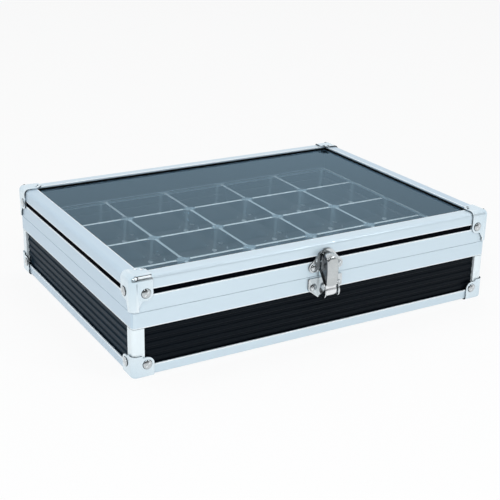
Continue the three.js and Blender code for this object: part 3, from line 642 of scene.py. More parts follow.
SECTIONS = {
    "lid_rail": rounded([
        (FACE, LID_FOOT, 0.15), (SLOT_NEAR, LID_FOOT, 0.15), (SLOT_NEAR, SLOT_TOP),
        (SLOT_FAR, SLOT_TOP), (SLOT_FAR, LID_FOOT, 0.15), (BORDER, LID_FOOT, 0.3),
        (BORDER, LID_FOOT + WALL, 0.2), (SLOT_FAR + WALL, LID_FOOT + WALL, 0.2),
        (SLOT_FAR + WALL, SLOT_TOP + WALL, 0.2), (SLOT_NEAR - WALL, SLOT_TOP + WALL, 0.2),
        (SLOT_NEAR - WALL, LID_FOOT + WALL, 0.2), (SKIN, LID_FOOT + WALL, 0.2),
        (SKIN, STRIP_FOOT - WALL, 0.2), (STRIP_BACK + WALL, STRIP_FOOT - WALL, 0.2),
        (STRIP_BACK + WALL, STRIP_TOP + WALL, 0.2), (SKIN, STRIP_TOP + WALL, 0.2),
        (SKIN, GLASS_TOP, 0.2), (SKIN + WALL, RAIL_TOP - WALL, 0.2),
        (BORDER - 1.0, RAIL_TOP - WALL, 0.2), (BORDER, RAIL_TOP - WALL - 0.35, 0.2),
        (BORDER, RAIL_TOP, 0.45), (BORDER - LIP, RAIL_TOP), (FACE, RAIL_TOP, CAP_R - FACE),
        (FACE, STRIP_TOP + LIP), (FACE, STRIP_TOP, 0.3), (STRIP_BACK, STRIP_TOP, 0.12),
        (STRIP_BACK, STRIP_FOOT, 0.12), (FACE, STRIP_FOOT, 0.3), (FACE, STRIP_FOOT - LIP),
    ], 5),
    "base_rail": rounded([
        (FACE, PANEL_TOP + LIP), (FACE, PANEL_TOP, 0.35), (SKIN, PANEL_TOP, 0.25),
        (SKIN, BASE_TOP - WALL, 0.2), (PANEL_BACK + GAP, BASE_TOP - WALL, 0.2),
        (PANEL_BACK + GAP, FOAM_TOP + GAP, 0.2), (HEM_FAR, FOAM_TOP + GAP, 0.3),
        (HEM_FAR, BASE_TOP, 0.3), (TONGUE_FAR, BASE_TOP, 0.15), (TONGUE_FAR, TONGUE_TOP, 0.3),
        (TONGUE_NEAR, TONGUE_TOP, 0.3), (TONGUE_NEAR, BASE_TOP, 0.15), (FACE, BASE_TOP, 0.15),
    ], 4),
    "foot_rail": rounded([
        (FACE, FACE, WALL), (FLANGE_FAR, FACE, 0.3), (FLANGE_FAR, SKIN, 0.3), (SKIN, SKIN, 0.2),
        (SKIN, PANEL_FOOT, 0.25), (FACE, PANEL_FOOT, 0.35), (FACE, PANEL_FOOT - LIP),
    ], 6),
}


def strip_section():
    front, back, foot, top = FACE + 0.3, STRIP_BACK - 0.3, STRIP_FOOT + 0.3, STRIP_TOP - 0.3
    return rounded([(front, foot, 0.2), (back, foot, 0.1), (back, top, 0.1), (front, top, 0.2)])


def corner_post():
    """A rounded angle flush with the rails, whose turned-in edges rest against the panels."""
    lip, edge = 4.0, POST_REACH - WALL
    outer = arc_points(CAP_R, CAP_R, CAP_R - FACE, 180, 270, 14)
    inner = arc_points(CAP_R, CAP_R, CAP_R - SKIN, 270, 180, 10)
    right = [(POST_REACH, FACE, 0.3), (POST_REACH, lip, 0.2), (edge, lip, 0.2), (edge, SKIN, 0.2)]
    left = [(y, x, r) for x, y, r in reversed(right)]
    outline = rounded(outer + right + inner + left)
    return prism(bmesh.new(), outline, PANEL_FOOT + GAP, PANEL_TOP - GAP, lambda x, y, z: (x, y, z))


def side_panel(length):
    """A board with five rounded ribs. The ribs stand between the corner posts, the board behind them."""
    board_half = length / 2 - GAP - (PANEL_FACE if length == WIDTH else PANEL_BACK)
    rib_half = length / 2 - POST_REACH - GAP
    foot, top = SKIN + GAP, BASE_TOP - WALL - GAP
    pitch = (PANEL_TOP - PANEL_FOOT) / 5
    root = pitch * 0.31
    flank, crown = PANEL_FACE - 0.62, PANEL_FACE - 1.05
    lower = [(PANEL_BACK, foot, 0.2), (PANEL_FACE, foot, 0.2)]
    upper = [(PANEL_FACE, top, 0.2), (PANEL_BACK, top, 0.2)]
    ribs = []
    for i in range(5):
        middle = PANEL_FOOT + pitch * (i + 0.5)
        ribs += [
            (PANEL_FACE, middle - root, 0.25), (flank, middle - root + 0.12, 0.3),
            (crown, middle - root * 0.72, 0.45), (crown, middle + root * 0.72, 0.45),
            (flank, middle + root - 0.12, 0.3), (PANEL_FACE, middle + root, 0.25),
        ]
    bm = side_prism(bmesh.new(), rounded(lower + ribs + upper), -rib_half, rib_half)
    for hand in (-1, 1):
        low, high = sorted((hand * rib_half, hand * board_half))
        side_prism(bm, rounded(lower + upper), low, high)
    return bm


for side, (_, _, length) in SIDES.items():
    at = place_side(side)
    grain = "x" if length == WIDTH else "y"
    for kind, section in SECTIONS.items():
        name, keys = f"{kind}_{side}", f"rail_{grain} lip board"
        body = "lid" if kind == "lid_rail" else "base"
        bm = swept_side(section, length)
        piece(f"{name}_extrusion", bm, keys, body, "rail_aluminium", name, matrix=at)
    reach = length / 2 - CAP_REACH + FACE - 1.9
    bm = side_prism(bmesh.new(), strip_section(), -reach, reach)
    name, key = f"groove_strip_{side}", f"strip_{grain}"
    piece(f"{name}_insert", bm, key, "lid", "strip_black", name, matrix=at)
    name, key = f"side_panel_{side}", f"panel_{grain}"
    piece(f"{name}_ribbed", side_panel(length), key, "base", "panel_black", name, matrix=at, sharp=50)

for corner in CORNERS:
    name, at = f"corner_post_{corner}", place_corner(corner)
    piece(f"{name}_extrusion", corner_post(), "rail_z", "base", "rail_aluminium", name, matrix=at)

# Stamped corners, with the bead in the lid's fold and the rivets

BLANK = 60
OPENING_START, OPENING_SIZE = 4.9, 2.6
DENTS = [(10.6, 15.2), (14.2, 12.6)]
DENT_R, DENT_RISE = 1.9, 1.3
TAB_R = CAP_REACH - RIVET_IN + 0.1

LID_TAB = rounded([
    (-2, SEAM + 0.9), (4.0, SEAM + 0.9, 0.6), (9.2, 60.9, 1.2),
    *arc_points(RIVET_IN, LID_RIVET, TAB_R, -90, 0, 14), (CAP_REACH, 69.3, 0.6),
    (CAP_REACH, HEIGHT + 2), (-2, HEIGHT + 2),
], 4)
FOOT_TAB = rounded([
    (-2, -2), (CAP_REACH, -2), (CAP_REACH, 7.8, 0.6),
    *arc_points(RIVET_IN, FOOT_RIVET, TAB_R, 0, 90, 14), (8.3, 16.2, 0.5), (8.3, 17.8, 0.5),
    (-2, 17.8),
], 4)
LEVEL_TAB = rounded([
    (-2, -2), (CAP_REACH, -2), (CAP_REACH, 12.2, 1.2), (12.2, CAP_REACH, 1.2), (-2, CAP_REACH),
], 4)


def corner_block(near, far, radius, edge_radius, side):
    """A box corner whose upright fold has one radius and whose level folds have another."""
    level = -near * side
    bm = box_bm(near, far, near, far, *sorted((level, -BLANK * side)))

    def edges(**wanted):
        def at(v):
            return all(abs(getattr(v.co, axis) - value) < 1e-3 for axis, value in wanted.items())

        return [e for e in bm.edges if all(at(v) for v in e.verts)]

    upright = edges(x=near, y=near)
    if abs(radius - edge_radius) < 1e-3:
        return bevel(bm, upright + edges(x=near, z=level) + edges(y=near, z=level), radius, 10)
    bevel(bm, upright, radius, 10)
    rim = [e for e in edges(z=level) if any(max(v.co.x, v.co.y) < far - 1 for v in e.verts)]
    return bevel(bm, rim, edge_radius, 8)


def stamped_corner(outline, side, fold, opening=None):
    """A pressed sheet corner of the lid (side 1) or the base (side -1): a round box corner, trimmed to
    its three tabs. The lid's have an opening in one fold and two dents in the top."""
    base = HEIGHT if side > 0 else 0.0
    shell = scratch(corner_block(0, BLANK, CAP_R, fold, side))
    inner = scratch(corner_block(CAP_WALL, BLANK + 2, CAP_R - CAP_WALL, fold - CAP_WALL, side))
    for obj in (shell, inner):
        obj.data.transform(move(0, 0, base))
    combine(shell, inner, "DIFFERENCE")
    flank_outline = [(-3 if y < 0 else y, z - 0.01) for y, z in outline]
    level_outline = [(-4 if x < 0 else x - 0.01, -4 if y < 0 else y - 0.01) for x, y in LEVEL_TAB]
    low, high = sorted((base - 6.1 * side, base + 2.5 * side))
    trim = scratch(prism(bmesh.new(), outline, -2, 6, lambda x, z, d: (x, d, z)))
    flank = scratch(prism(bmesh.new(), flank_outline, -3, 6.3, lambda y, z, d: (d, y, z)))
    level = scratch(prism(bmesh.new(), level_outline, low, high, lambda x, y, z: (x, y, z)))
    combine(trim, flank, "UNION")
    combine(trim, level, "UNION")
    combine(shell, trim, "INTERSECT")
    if opening:
        bm = box_bm(*opening, HEIGHT - OPENING_SIZE, HEIGHT + 4)
        combine(shell, scratch(bevel(bm, list(bm.edges), 0.02, 1)), "DIFFERENCE")
        for x, y in DENTS:
            bm = bmesh.new()
            bmesh.ops.create_uvsphere(bm, u_segments=32, v_segments=40, radius=DENT_R)
            transform(bm, move(x, y, base + DENT_RISE))
            combine(shell, scratch(bm), "DIFFERENCE")
    mesh = shell.data
    bpy.data.objects.remove(shell)
    return mesh


def pressing(mesh, side):
    """A copy of a stamped corner. Sheared faces, which look across the sheet, and the borders of the
    opening have the second material, dark as a painted shade; of a dent, the near side has the second and
    the far side the third, pale as a painted highlight."""
    bm = bmesh.new()
    bm.from_mesh(mesh)
    settle(bm, 1e-4)
    base = HEIGHT if side > 0 else 0.0
    for face in bm.faces:
        centre = face.calc_center_median()
        x, y, z = centre.x, centre.y, side * (base - centre.z)
        depths = (x, y, z)
        near = [k for k in range(3) if depths[k] < CAP_R] or [depths.index(min(depths))]
        sheared = max(abs(face.normal[k]) for k in near) < 0.35
        beside = abs(min(x, y) - OPENING_SIZE) < 0.03 or abs(z - OPENING_SIZE) < 0.03
        in_opening = side > 0 and max(x, y) > OPENING_START - 0.1 and beside
        # Sheared faces and the opening's borders are dark: painted shade
        face.material_index = 1 if sheared or in_opening else 0
        # A dent: its near side dark as painted shade, its far side pale as a painted highlight
        for dent in DENTS if side > 0 else []:
            away = Vector((x, y)) - Vector(dent)
            if away.length < 1.7 and 0.02 < z < 0.7 and abs(face.normal.z) < 0.999:
                face.material_index = 1 if away.dot(Vector((0.2, 1.0))) < 0.25 else 2
    return bm


def dome_rivet(name, radius, crown, at, body, *nodes, key="rivet"):
    """A rivet head: a low dome with a short upright rim, on a thin ring round its foot. The lower part of
    the rim and the ring take the dark edge material, a painted shade.
    """
    segments = 36
    bm = bmesh.new()
    wall = crown * 0.38
    profile = [(0, -0.3), (radius, -0.3), (radius, wall * 0.8), (radius * 0.985, wall)]
    sphere = (radius * radius + (crown - wall) ** 2) / (2 * (crown - wall))
    start = asin(min(1.0, (radius * 0.97) / sphere))
    for k in range(1, 12):
        a = start * (1 - k / 11)
        profile.append((sphere * sin(a), crown - sphere * (1 - cos(a))))
    lathe(bm, profile, segments)
    # The lower rim is dark: painted shade
    for face in bm.faces:
        if face.calc_center_median().z < wall * 0.9:
            face.material_index = 1
    # A dark ring round the foot: painted shade
    seat = ((1.001, -0.25), (1.13, -0.25), (1.11, 0.05), (1.02, 0.10), (1.001, 0.02), (1.001, -0.25))
    mark(bm, lathe(bm, [(radius * share, height) for share, height in seat], segments), 1)
    settle(bm, 1e-6)
    return piece(name, bm, f"{key} edge", body, "rivet_steel", *nodes, matrix=at, sharp=40)


def corner_bead(along):
    """What shows through the opening in the top fold of a pressing: a round bead, pale as a painted
    highlight; a thin tube below it, dark as a painted shadow line; a ball at the corner's end, pale like
    the bead, in a dark ring of painted shade; and a dark crease, a painted shadow line, that runs down from
    there."""
    bm = bmesh.new()

    def in_fold(radius, degrees):
        return CAP_R - radius * cos(radians(degrees)), HEIGHT - CAP_R + radius * sin(radians(degrees))

    def tube(place, spots, material):
        d, z = place
        rows = []
        for u, radius in spots:
            rows.append([bm.verts.new((u, d + radius * c, z + radius * s)) for c, s in circle(14)])
        skin(bm, rows, (material,), material)

    # A pale bead, a painted highlight
    tube(in_fold(3.45, 50), [(5.2, 0.92), (16.6, 0.92), (17.2, 0.55)], 0)
    # A thin dark tube below it, a painted shadow line
    tube(in_fold(3.72, 20), [(5.6, 0.45), (7.0, 0.62), (10.5, 0.58), (12.0, 0.30), (17.0, 0.26)], 1)
    ball = move(5.0, *in_fold(3.15, 45))
    ball = ball @ Vector((-0.55, -1, 0.9)).normalized().to_track_quat("Z", "Y").to_matrix().to_4x4()
    dome = arc_points(0, 0, 1.75, -18, 90, 14)
    lathe(bm, [(0, -1.0)] + dome, 28, ball)
    # A dark ring round the ball, painted shade
    rim = [(1.55 + 0.42 * c, 1.02 + 0.34 * s) for c, s in arc_points(0, 0, 1, 0, 360, 12)]
    dark = lathe(bm, rim, 28, ball)
    # The crease is a dark strip, a painted shadow line
    front, back = -0.012, 0.4
    rows = []
    for below, half in ((13.5, 0.04), (11.0, 0.16), (8.0, 0.30), (5.0, 0.34)):
        corners = ((-half, front), (half, front), (half, back), (-half, back))
        rows.append([bm.verts.new((5.0 + u, d, HEIGHT - below)) for u, d in corners])
    skin(bm, rows, (2,), 2)
    mark(bm, dark, 1)
    bmesh.ops.remove_doubles(bm, verts=bm.verts, dist=1e-6)
    if along == "y":
        transform(bm, Matrix(((0, 1, 0, 0), (1, 0, 0, 0), (0, 0, 1, 0), (0, 0, 0, 1))))
        bmesh.ops.reverse_faces(bm, faces=bm.faces)
    return bm


foot_mesh = stamped_corner(FOOT_TAB, -1, SKIN)
lid_meshes = {
    "x": stamped_corner(LID_TAB, 1, CAP_R, (OPENING_START, 30, -2, OPENING_SIZE)),
    "y": stamped_corner(LID_TAB, 1, CAP_R, (-2, OPENING_SIZE, OPENING_START, 30)),
}
for corner in CORNERS:
    at = place_corner(corner)
    along = "y" if corner == "back_left" else "x"
    for kind, mesh, side, height, body in (
        ("lid_corner", lid_meshes[along], 1, LID_RIVET, "lid"),
        ("foot_corner", foot_mesh, -1, FOOT_RIVET, "base"),
    ):
        name, keys = f"{kind}_{corner}", "stamped edge bead"
        bm = pressing(mesh, side)
        piece(f"{name}_pressing", bm, keys, body, "stamped_steel", name, matrix=at, sharp=40)
        dome_rivet(f"{name}_rivet_a", 3.5, 1.5, at @ move(RIVET_IN, 0, height) @ FRONT_OUT, body)
        dome_rivet(f"{name}_rivet_b", 3.5, 1.5, at @ move(0, RIVET_IN, height) @ FLANK_OUT, body)
    name, keys = f"lid_corner_{corner}_bead", "bead edge crease"
    piece(name, corner_bead(along), keys, "lid", "stamped_steel", matrix=at, sharp=50)

# Glass and gasket


def gasket_ring(profile):
    """A closed ring round the case from a section of (depth, height), mitred at the corners."""
    bm = bmesh.new()
    rows = []
    for sx, sy in QUARTERS:
        spots = [(sx * (WIDTH / 2 - d), sy * (DEPTH / 2 - d) + SHIFT, z) for d, z in profile]
        rows.append([bm.verts.new(spot) for spot in spots])
    return settle(skin(bm, rows + rows[:1], ends=None))


GASKET_FOOT, GASKET_TOP = 72.2, RAIL_TOP - WALL - GAP
PANE_SLOT = PANE_IN - GAP
gasket = gasket_ring(rounded([
    (4.5, GASKET_FOOT, 0.2), (4.5, GASKET_TOP, 0.2), (BORDER - 1.2, GASKET_TOP, 0.2),
    (BORDER - 0.1, GASKET_TOP - GAP, 0.2), (BORDER + GAP, GLASS_TOP + GAP, 0.15),
    (PANE_SLOT, GLASS_TOP + GAP, 0.1), (PANE_SLOT, GLASS_FOOT - GAP, 0.1),
    (BORDER, GLASS_FOOT - GAP, 0.2), (BORDER, GASKET_FOOT, 0.2),
]))
piece("glass_gasket_channel", gasket, "rubber", "lid", "gasket_rubber", "glass_gasket")

pane_x, pane_y = WIDTH / 2 - PANE_IN, DEPTH / 2 - PANE_IN
pane = box_bm(-pane_x, pane_x, SHIFT - pane_y, SHIFT + pane_y, GLASS_FOOT, GLASS_TOP)
bevel(pane, list(pane.edges), 0.35, 2)
piece("lid_glass_pane", pane, "glass", "lid", "glass_clear", "lid_glass")

# Tray and foam

COLUMNS, ROWS = 5, 4
PITCH_X, PITCH_Y = 2 * TRAY_X / COLUMNS, 2 * TRAY_Y / ROWS
CELL_X, CELL_Y = PITCH_X / 2 - 0.9, PITCH_Y / 2 - 0.9
CELL_DEPTH, CELL_R, CELL_RIM, CELL_FILLET, CELL_DRAFT = 20.0, 7.0, 0.7, 2.4, 3.2
SAG, SKIRT = 0.25, 11.0


def cell_rings():
    """The way down from a cell's rim to its floor, as (inset, drop, corner radius)."""
    rings = [(0.0, 0.0, CELL_R)]
    for k in range(1, 5):
        a = pi / 8 * k
        rings.append((CELL_RIM * sin(a) * 0.8, CELL_RIM * (1 - cos(a)), CELL_R))
    start = CELL_RIM * 0.8
    for share in (0.25, 0.5, 0.75, 1.0):
        drop = CELL_RIM + share * (CELL_DEPTH - CELL_RIM - CELL_FILLET)
        rings.append((start + share * (CELL_DRAFT - start), drop, CELL_R - 1.2 * share))
    for k in range(1, 6):
        a = pi / 10 * k
        drop = CELL_DEPTH - CELL_FILLET * (1 - sin(a))
        rings.append((CELL_DRAFT + CELL_FILLET * (1 - cos(a)), drop, CELL_R - 1.2 - 0.12 * k))
    return rings


def onto_border(x, y):
    """Moves a point of a cell's round rim out to the square border that it shares with its neighbours."""
    gap_x, gap_y = CELL_X - abs(x), CELL_Y - abs(y)
    x = copysign(CELL_X, x) if gap_x < gap_y + 1e-6 else x
    y = copysign(CELL_Y, y) if gap_y < gap_x + 1e-6 else y
    return x * PITCH_X / 2 / CELL_X, y * PITCH_Y / 2 / CELL_Y


def cell(bm, cx, cy):
    """One cup of the sheet, from its square border over the round rim down to the middle of its floor."""
    steps = 8
    floor = TRAY_TOP - CELL_DEPTH
    border = [onto_border(x, y) for x, y in round_rect(CELL_X, CELL_Y, CELL_R, steps)]
    loops = [(border, TRAY_TOP)]
    for inset, drop, radius in cell_rings():
        loops.append((round_rect(CELL_X - inset, CELL_Y - inset, radius, steps), TRAY_TOP - drop))
    inner = loops[-1][0]
    for share in (0.8, 0.5, 0.2):
        loops.append(([(x * share, y * share) for x, y in inner], floor - SAG * (1 - share)))
    rows = [[bm.verts.new((cx + x, cy + y, z)) for x, y in points] for points, z in loops]
    skin(bm, rows, ends=None)
    middle = bm.verts.new((cx, cy, floor - SAG))
    for a, b in zip(rows[-1], rows[-1][1:] + rows[-1][:1]):
        bm.faces.new((a, b, middle))


def tray_mark(centre):
    """The material of a face of the tray: ridges, fillets at the floor's corners and upright folds, whose
    milkier materials are painted highlights; the far ridge takes the dimmer crossing material.
    """
    across = 0.5 - abs((centre.x + TRAY_X) / PITCH_X % 1 - 0.5)
    along = 0.5 - abs((centre.y + TRAY_Y) / PITCH_Y % 1 - 0.5)
    from_x, from_y = across * PITCH_X, along * PITCH_Y
    drop = TRAY_TOP - centre.z
    # Ridge tops: pale lines, painted highlights, with the far ridge dimmer
    if drop < 0.25:
        crossing = across < 0.1 and along < 0.1
        return 3 if crossing or centre.y > TRAY_Y - 4.0 else 1 if along < across else 2
    # Fillets at the floor's corners: pale marks, painted glints
    if 17.9 < drop < 19.7:
        return 4 if max(from_x, from_y) < 7.5 else 0
    # Thin strips down the corners: pale lines, painted highlights
    if drop < CELL_DEPTH - CELL_FILLET and max(from_x, from_y) < 6.5 and abs(from_x - from_y) < 1.1:
        return 5
    return 0


def tray_mesh():
    """A vacuum-formed sheet of 5 by 4 cups, with a skirt that hangs from its outer edge."""
    bm = bmesh.new()
    for row in range(ROWS):
        for column in range(COLUMNS):
            cell(bm, (column + 0.5) * PITCH_X - TRAY_X, (row + 0.5) * PITCH_Y - TRAY_Y)
    settle(bm, 0.02)
    rim = [e for e in bm.edges if len(e.link_faces) == 1]
    for v in bmesh.ops.extrude_edge_only(bm, edges=rim)["geom"]:
        if isinstance(v, bmesh.types.BMVert):
            v.co.z = TRAY_TOP - SKIRT
    settle(bm)
    for face in bm.faces:
        face.material_index = tray_mark(face.calc_center_median())
    transform(bm, move(0, SHIFT, 0))
    if sum(f.normal.z * f.calc_area() for f in bm.faces) < 0:
        bmesh.ops.reverse_faces(bm, faces=bm.faces)
    return bm


keys = "tray tray_ridge_x tray_ridge_y tray_cross tray_fillet tray_fold"
plain = {"sharp": 60, "weighted": False}
piece("cell_tray_formed", tray_mesh(), keys, "base", "tray_clear", "cell_tray", **plain)


def parted(points):
    """The outline with its long runs parted into twenty."""
    out = []
    for (x, y), (x1, y1) in zip(points, points[1:] + points[:1]):
        out.append((x, y))
        if hypot(x1 - x, y1 - y) > 20:
            out += [(x + (x1 - x) * k / 20, y + (y1 - y) * k / 20) for k in range(1, 20)]
    return out


def foam_mesh():
    """The foam bed: walls round the tray's pocket, soft edges, and a top that ripples a little."""
    outer_x, outer_y = WIDTH / 2 - PANEL_BACK - GAP, DEPTH / 2 - PANEL_BACK - GAP
    nest_x, nest_y = TRAY_X + GAP, TRAY_Y + GAP
    foot, floor, top = FLOOR_TOP + GAP, 36.25, FOAM_TOP
    bm = bmesh.new()
    rows = []
    for half_x, half_y, inset, z, radius in (
        (outer_x, outer_y, 0.8, foot, 3.0), (outer_x, outer_y, 0.0, foot + 0.8, 3.0),
        (outer_x, outer_y, 0.0, top - 1.0, 3.0), (outer_x, outer_y, 0.4, top - 0.3, 2.8),
        (outer_x, outer_y, 1.1, top, 2.6), (nest_x, nest_y, -1.0, top, 2.4),
        (nest_x, nest_y, -0.3, top - 0.3, 2.2), (nest_x, nest_y, 0.0, top - 1.0, 2.0),
        (nest_x, nest_y, 0.0, floor + 1.0, 2.0), (nest_x, nest_y, 0.4, floor + 0.2, 2.0),
        (nest_x, nest_y, 1.4, floor, 2.0),
    ):
        row = []
        for x, y in parted(round_rect(half_x - inset, half_y - inset, radius, 4)):
            ripple = 0.16 * sin(x * 0.071 + y * 0.113) + 0.10 * sin(x * 0.19 - y * 0.157)
            sunk = min(0, ripple) if z > top - 1.2 else 0
            row.append(bm.verts.new((x, y + SHIFT, z + sunk)))
        rows.append(row)
    return settle(skin(bm, rows))


foam_piece = piece("foam_bed_block", foam_mesh(), "foam", "base", "foam_black", "foam_bed", **plain)

# Boards that stay as the CAD has them, with softened edges

for node in [f"lid_core_{side}" for side in SIDES] + ["floor_board"]:
    obj = frame["nodes"][node]
    obj.data.materials.clear()
    obj.data.materials.append(MATERIALS["board"])
    soften(obj, 0.3, 2).harden_normals = True

# Latch, in its own frame: across, out from the rail's face as reach, and up from the seam

RIVET_X = 11.5
BASE_RIVET_Z, CATCH_RIVET_Z = -8.8, 7.8
PLATE_BACK, PLATE_FRONT = 0.25, 1.25
RIVET_LOBE = 4.1
PIVOT_D, PIVOT_Z = 5.6, -10.5
EAR_IN, EAR_OUT = 5.65, 6.75
LEVER_HALF, EDGE_R = 5.4, 0.8
CROWN_Z, CROWN_R = 15.0, 4.6
FACE_D = 10.9
NOSE_R, NOSE_D = 5.1, 10.02
STEP_Z, STEP_BOW, STEP_FADE = -4.7, 1.5, 3.3


def plate_bm(points, near, far):
    """A flat plate on the rail from an outline of (place across, height), standing out from near to far."""
    return prism(bmesh.new(), points, near, far, lambda x, z, d: (x, -d, z))


def side_bm(points, left, right):
    """A piece from its side outline of (reach, height), between two places across."""
    return prism(bmesh.new(), points, left, right, lambda reach, z, x: (x, -reach, z))


def rod_bm(radius, start, end):
    """A round rod between two points."""
    start, end = Vector(start), Vector(end)
    length = (end - start).length
    turn = (end - start).to_track_quat("Z", "Y").to_matrix().to_4x4()
    bm = bmesh.new()
    profile = [(0, 0), (radius, 0), (radius, length), (0, length)]
    lathe(bm, profile, 32, Matrix.Translation(start) @ turn)
    return bm


def fitting(name, parts, cuts, matrix, soft, body, node, sheared=None):
    """Joins parts, takes the cuts away, softens the edges and gives the sheared faces the dark edge
    material, a painted shade.
    """
    whole = scratch(parts[0])
    for operation, meshes in (("UNION", parts[1:]), ("DIFFERENCE", cuts)):
        for bm in meshes:
            combine(whole, scratch(bm), operation)
    bm = bmesh.new()
    bm.from_mesh(whole.data)
    bpy.data.objects.remove(whole)
    bmesh.ops.remove_doubles(bm, verts=bm.verts, dist=2e-4)
    bmesh.ops.dissolve_limit(bm, angle_limit=radians(0.5), verts=bm.verts, edges=bm.edges)
    # Sheared faces take the dark edge material: painted shade
    if sheared:
        for face in bm.faces:
            face.material_index = 1 if sheared(face.calc_center_median(), face.normal) else 0
    obj = new_object(name, bm, "nickel edge", matrix, sharp=30, weighted=False)
    soften(obj, soft, 3).material = 0
    weigh_normals(obj)
    assign(obj, body, "nickel", node)


def mirrored(points):
    return points + [(-x, z) for x, z in reversed(points)]


def rivet_holes(height):
    return [rod_bm(1.5, (hand * RIVET_X, 1, height), (hand * RIVET_X, -3, height)) for hand in (-1, 1)]


def is_rim(at, normal):
    """Whether a face is the rim of a plate that lies on the rail."""
    return abs(normal.y) < 0.3 and at.y > -PLATE_FRONT - 0.05


base_outline = mirrored([
    (EAR_OUT, -17.6), *arc_points(RIVET_X, BASE_RIVET_Z, RIVET_LOBE, -72, 0, 12),
    (RIVET_X + RIVET_LOBE, -2.6), *arc_points(14.4, -2.6, 1.2, 0, 90, 6),
])
ear_outline = [
    (0.75, -16.6), *arc_points(PIVOT_D, PIVOT_Z, 6.4, -90, 30, 26), (8.4, -3.2), (5.2, 1.4),
    (2.5, 5.0), (1.5, 5.0), (1.5, -1.4), (0.75, -2.4),
]
ears = [side_bm(ear_outline, *sorted((hand * EAR_IN, hand * EAR_OUT))) for hand in (-1, 1)]
window = box_bm(0.02 - EAR_IN, EAR_IN - 0.02, -2, 1, -15.85, -5.4)
# The plate's rims away from the ears are dark: painted shade
fitting(
    "latch_base_plate_folded",
    [plate_bm(base_outline, PLATE_BACK, PLATE_FRONT)] + ears,
    [window] + rivet_holes(BASE_RIVET_Z),
    LATCH, 0.28, "base", "latch_base_plate",
    lambda at, normal: is_rim(at, normal) and abs(at.x) > EAR_OUT + 0.1,
)

CATCH_Z, CATCH_R = 12.6, 9.6
LAP = 2.8648
catch_outline = mirrored([
    (7.5, 3.9), *arc_points(RIVET_X, CATCH_RIVET_Z, RIVET_LOBE, -90, 60, 16),
    *arc_points(0, CATCH_Z, CATCH_R, 22.5, 90, 16),
])
rim_outline = arc_points(0, CATCH_Z, CATCH_R - 0.5, -LAP, 180 + LAP, 40)
rim_outline += arc_points(0, CATCH_Z, CATCH_R - 1.9, 180 + LAP, -LAP, 40)
hook_outline = [
    (0.75, 9.2), (5.15, 9.2), (6.2, 10.2), (6.2, 12.0), (5.15, 12.0), (5.15, 10.4), (0.75, 10.4),
]
catch_parts = [
    plate_bm(catch_outline, PLATE_BACK, PLATE_FRONT),
    plate_bm(rim_outline, PLATE_BACK + 0.3, PLATE_FRONT + 0.8),
    side_bm(hook_outline, -2.2, 2.2),
]
holes = rivet_holes(CATCH_RIVET_Z)
# The catch's rims are dark: painted shade
fitting("latch_catch_pressed", catch_parts, holes, LATCH, 0.26, "lid", "latch_catch", is_rim)


def lever_levels():
    """The lever's U sections from the crown down, as (height, half width, front, edge radius, back, bow).
    The crown closes as a dome, the face bulges a little, and the nose narrows to a tongue."""
    levels = []
    for k in range(13):
        rise = CROWN_R * sin(pi / 2 * (1 - k / 12))
        spread = sqrt(max(0.0, CROWN_R ** 2 - rise ** 2))
        radius = min(1.6 + 3.0 * rise / CROWN_R, 0.75 + spread)
        levels.append((CROWN_Z + rise, EDGE_R + spread, FACE_D - CROWN_R + spread, radius, 2.6, 0.0))
    middle, half_run = (CROWN_Z + STEP_Z) / 2, (CROWN_Z - STEP_Z) / 2
    for k in range(1, 19):
        z = CROWN_Z + (STEP_Z + 0.2 - CROWN_Z) * k / 18
        bulge = 0.7 * (1 - ((z - middle) / half_run) ** 2)
        levels.append((z, LEVER_HALF, FACE_D + bulge, 1.6, 2.6, 1.0))
    levels.append((STEP_Z, LEVER_HALF, FACE_D - 0.2, 1.5, 2.6, 1.0))
    levels.append((STEP_Z, LEVER_HALF, NOSE_D + 0.05, 1.4, 2.6, 1.0))
    nose_top = PIVOT_Z + NOSE_R / 2
    for k in range(1, 5):
        z = STEP_Z - 0.25 + (nose_top - STEP_Z + 0.25) * k / 4
        levels.append((z, LEVER_HALF, NOSE_D, 1.4, 2.6, 1 - k / 4))
    for k in range(1, 17):
        angle = radians(30 - 120 * k / 16)
        z = PIVOT_Z + NOSE_R * sin(angle)
        forward = NOSE_R * cos(angle)
        below = max(0.0, PIVOT_Z - 0.5 - z)
        half = EDGE_R + sqrt(max(0.0, (LEVER_HALF - EDGE_R) ** 2 - below ** 2))
        back = max(2.6, PIVOT_D - forward)
        levels.append((z, half, PIVOT_D + forward, min(1.4, half * 0.7), back, 0.0))
    return levels


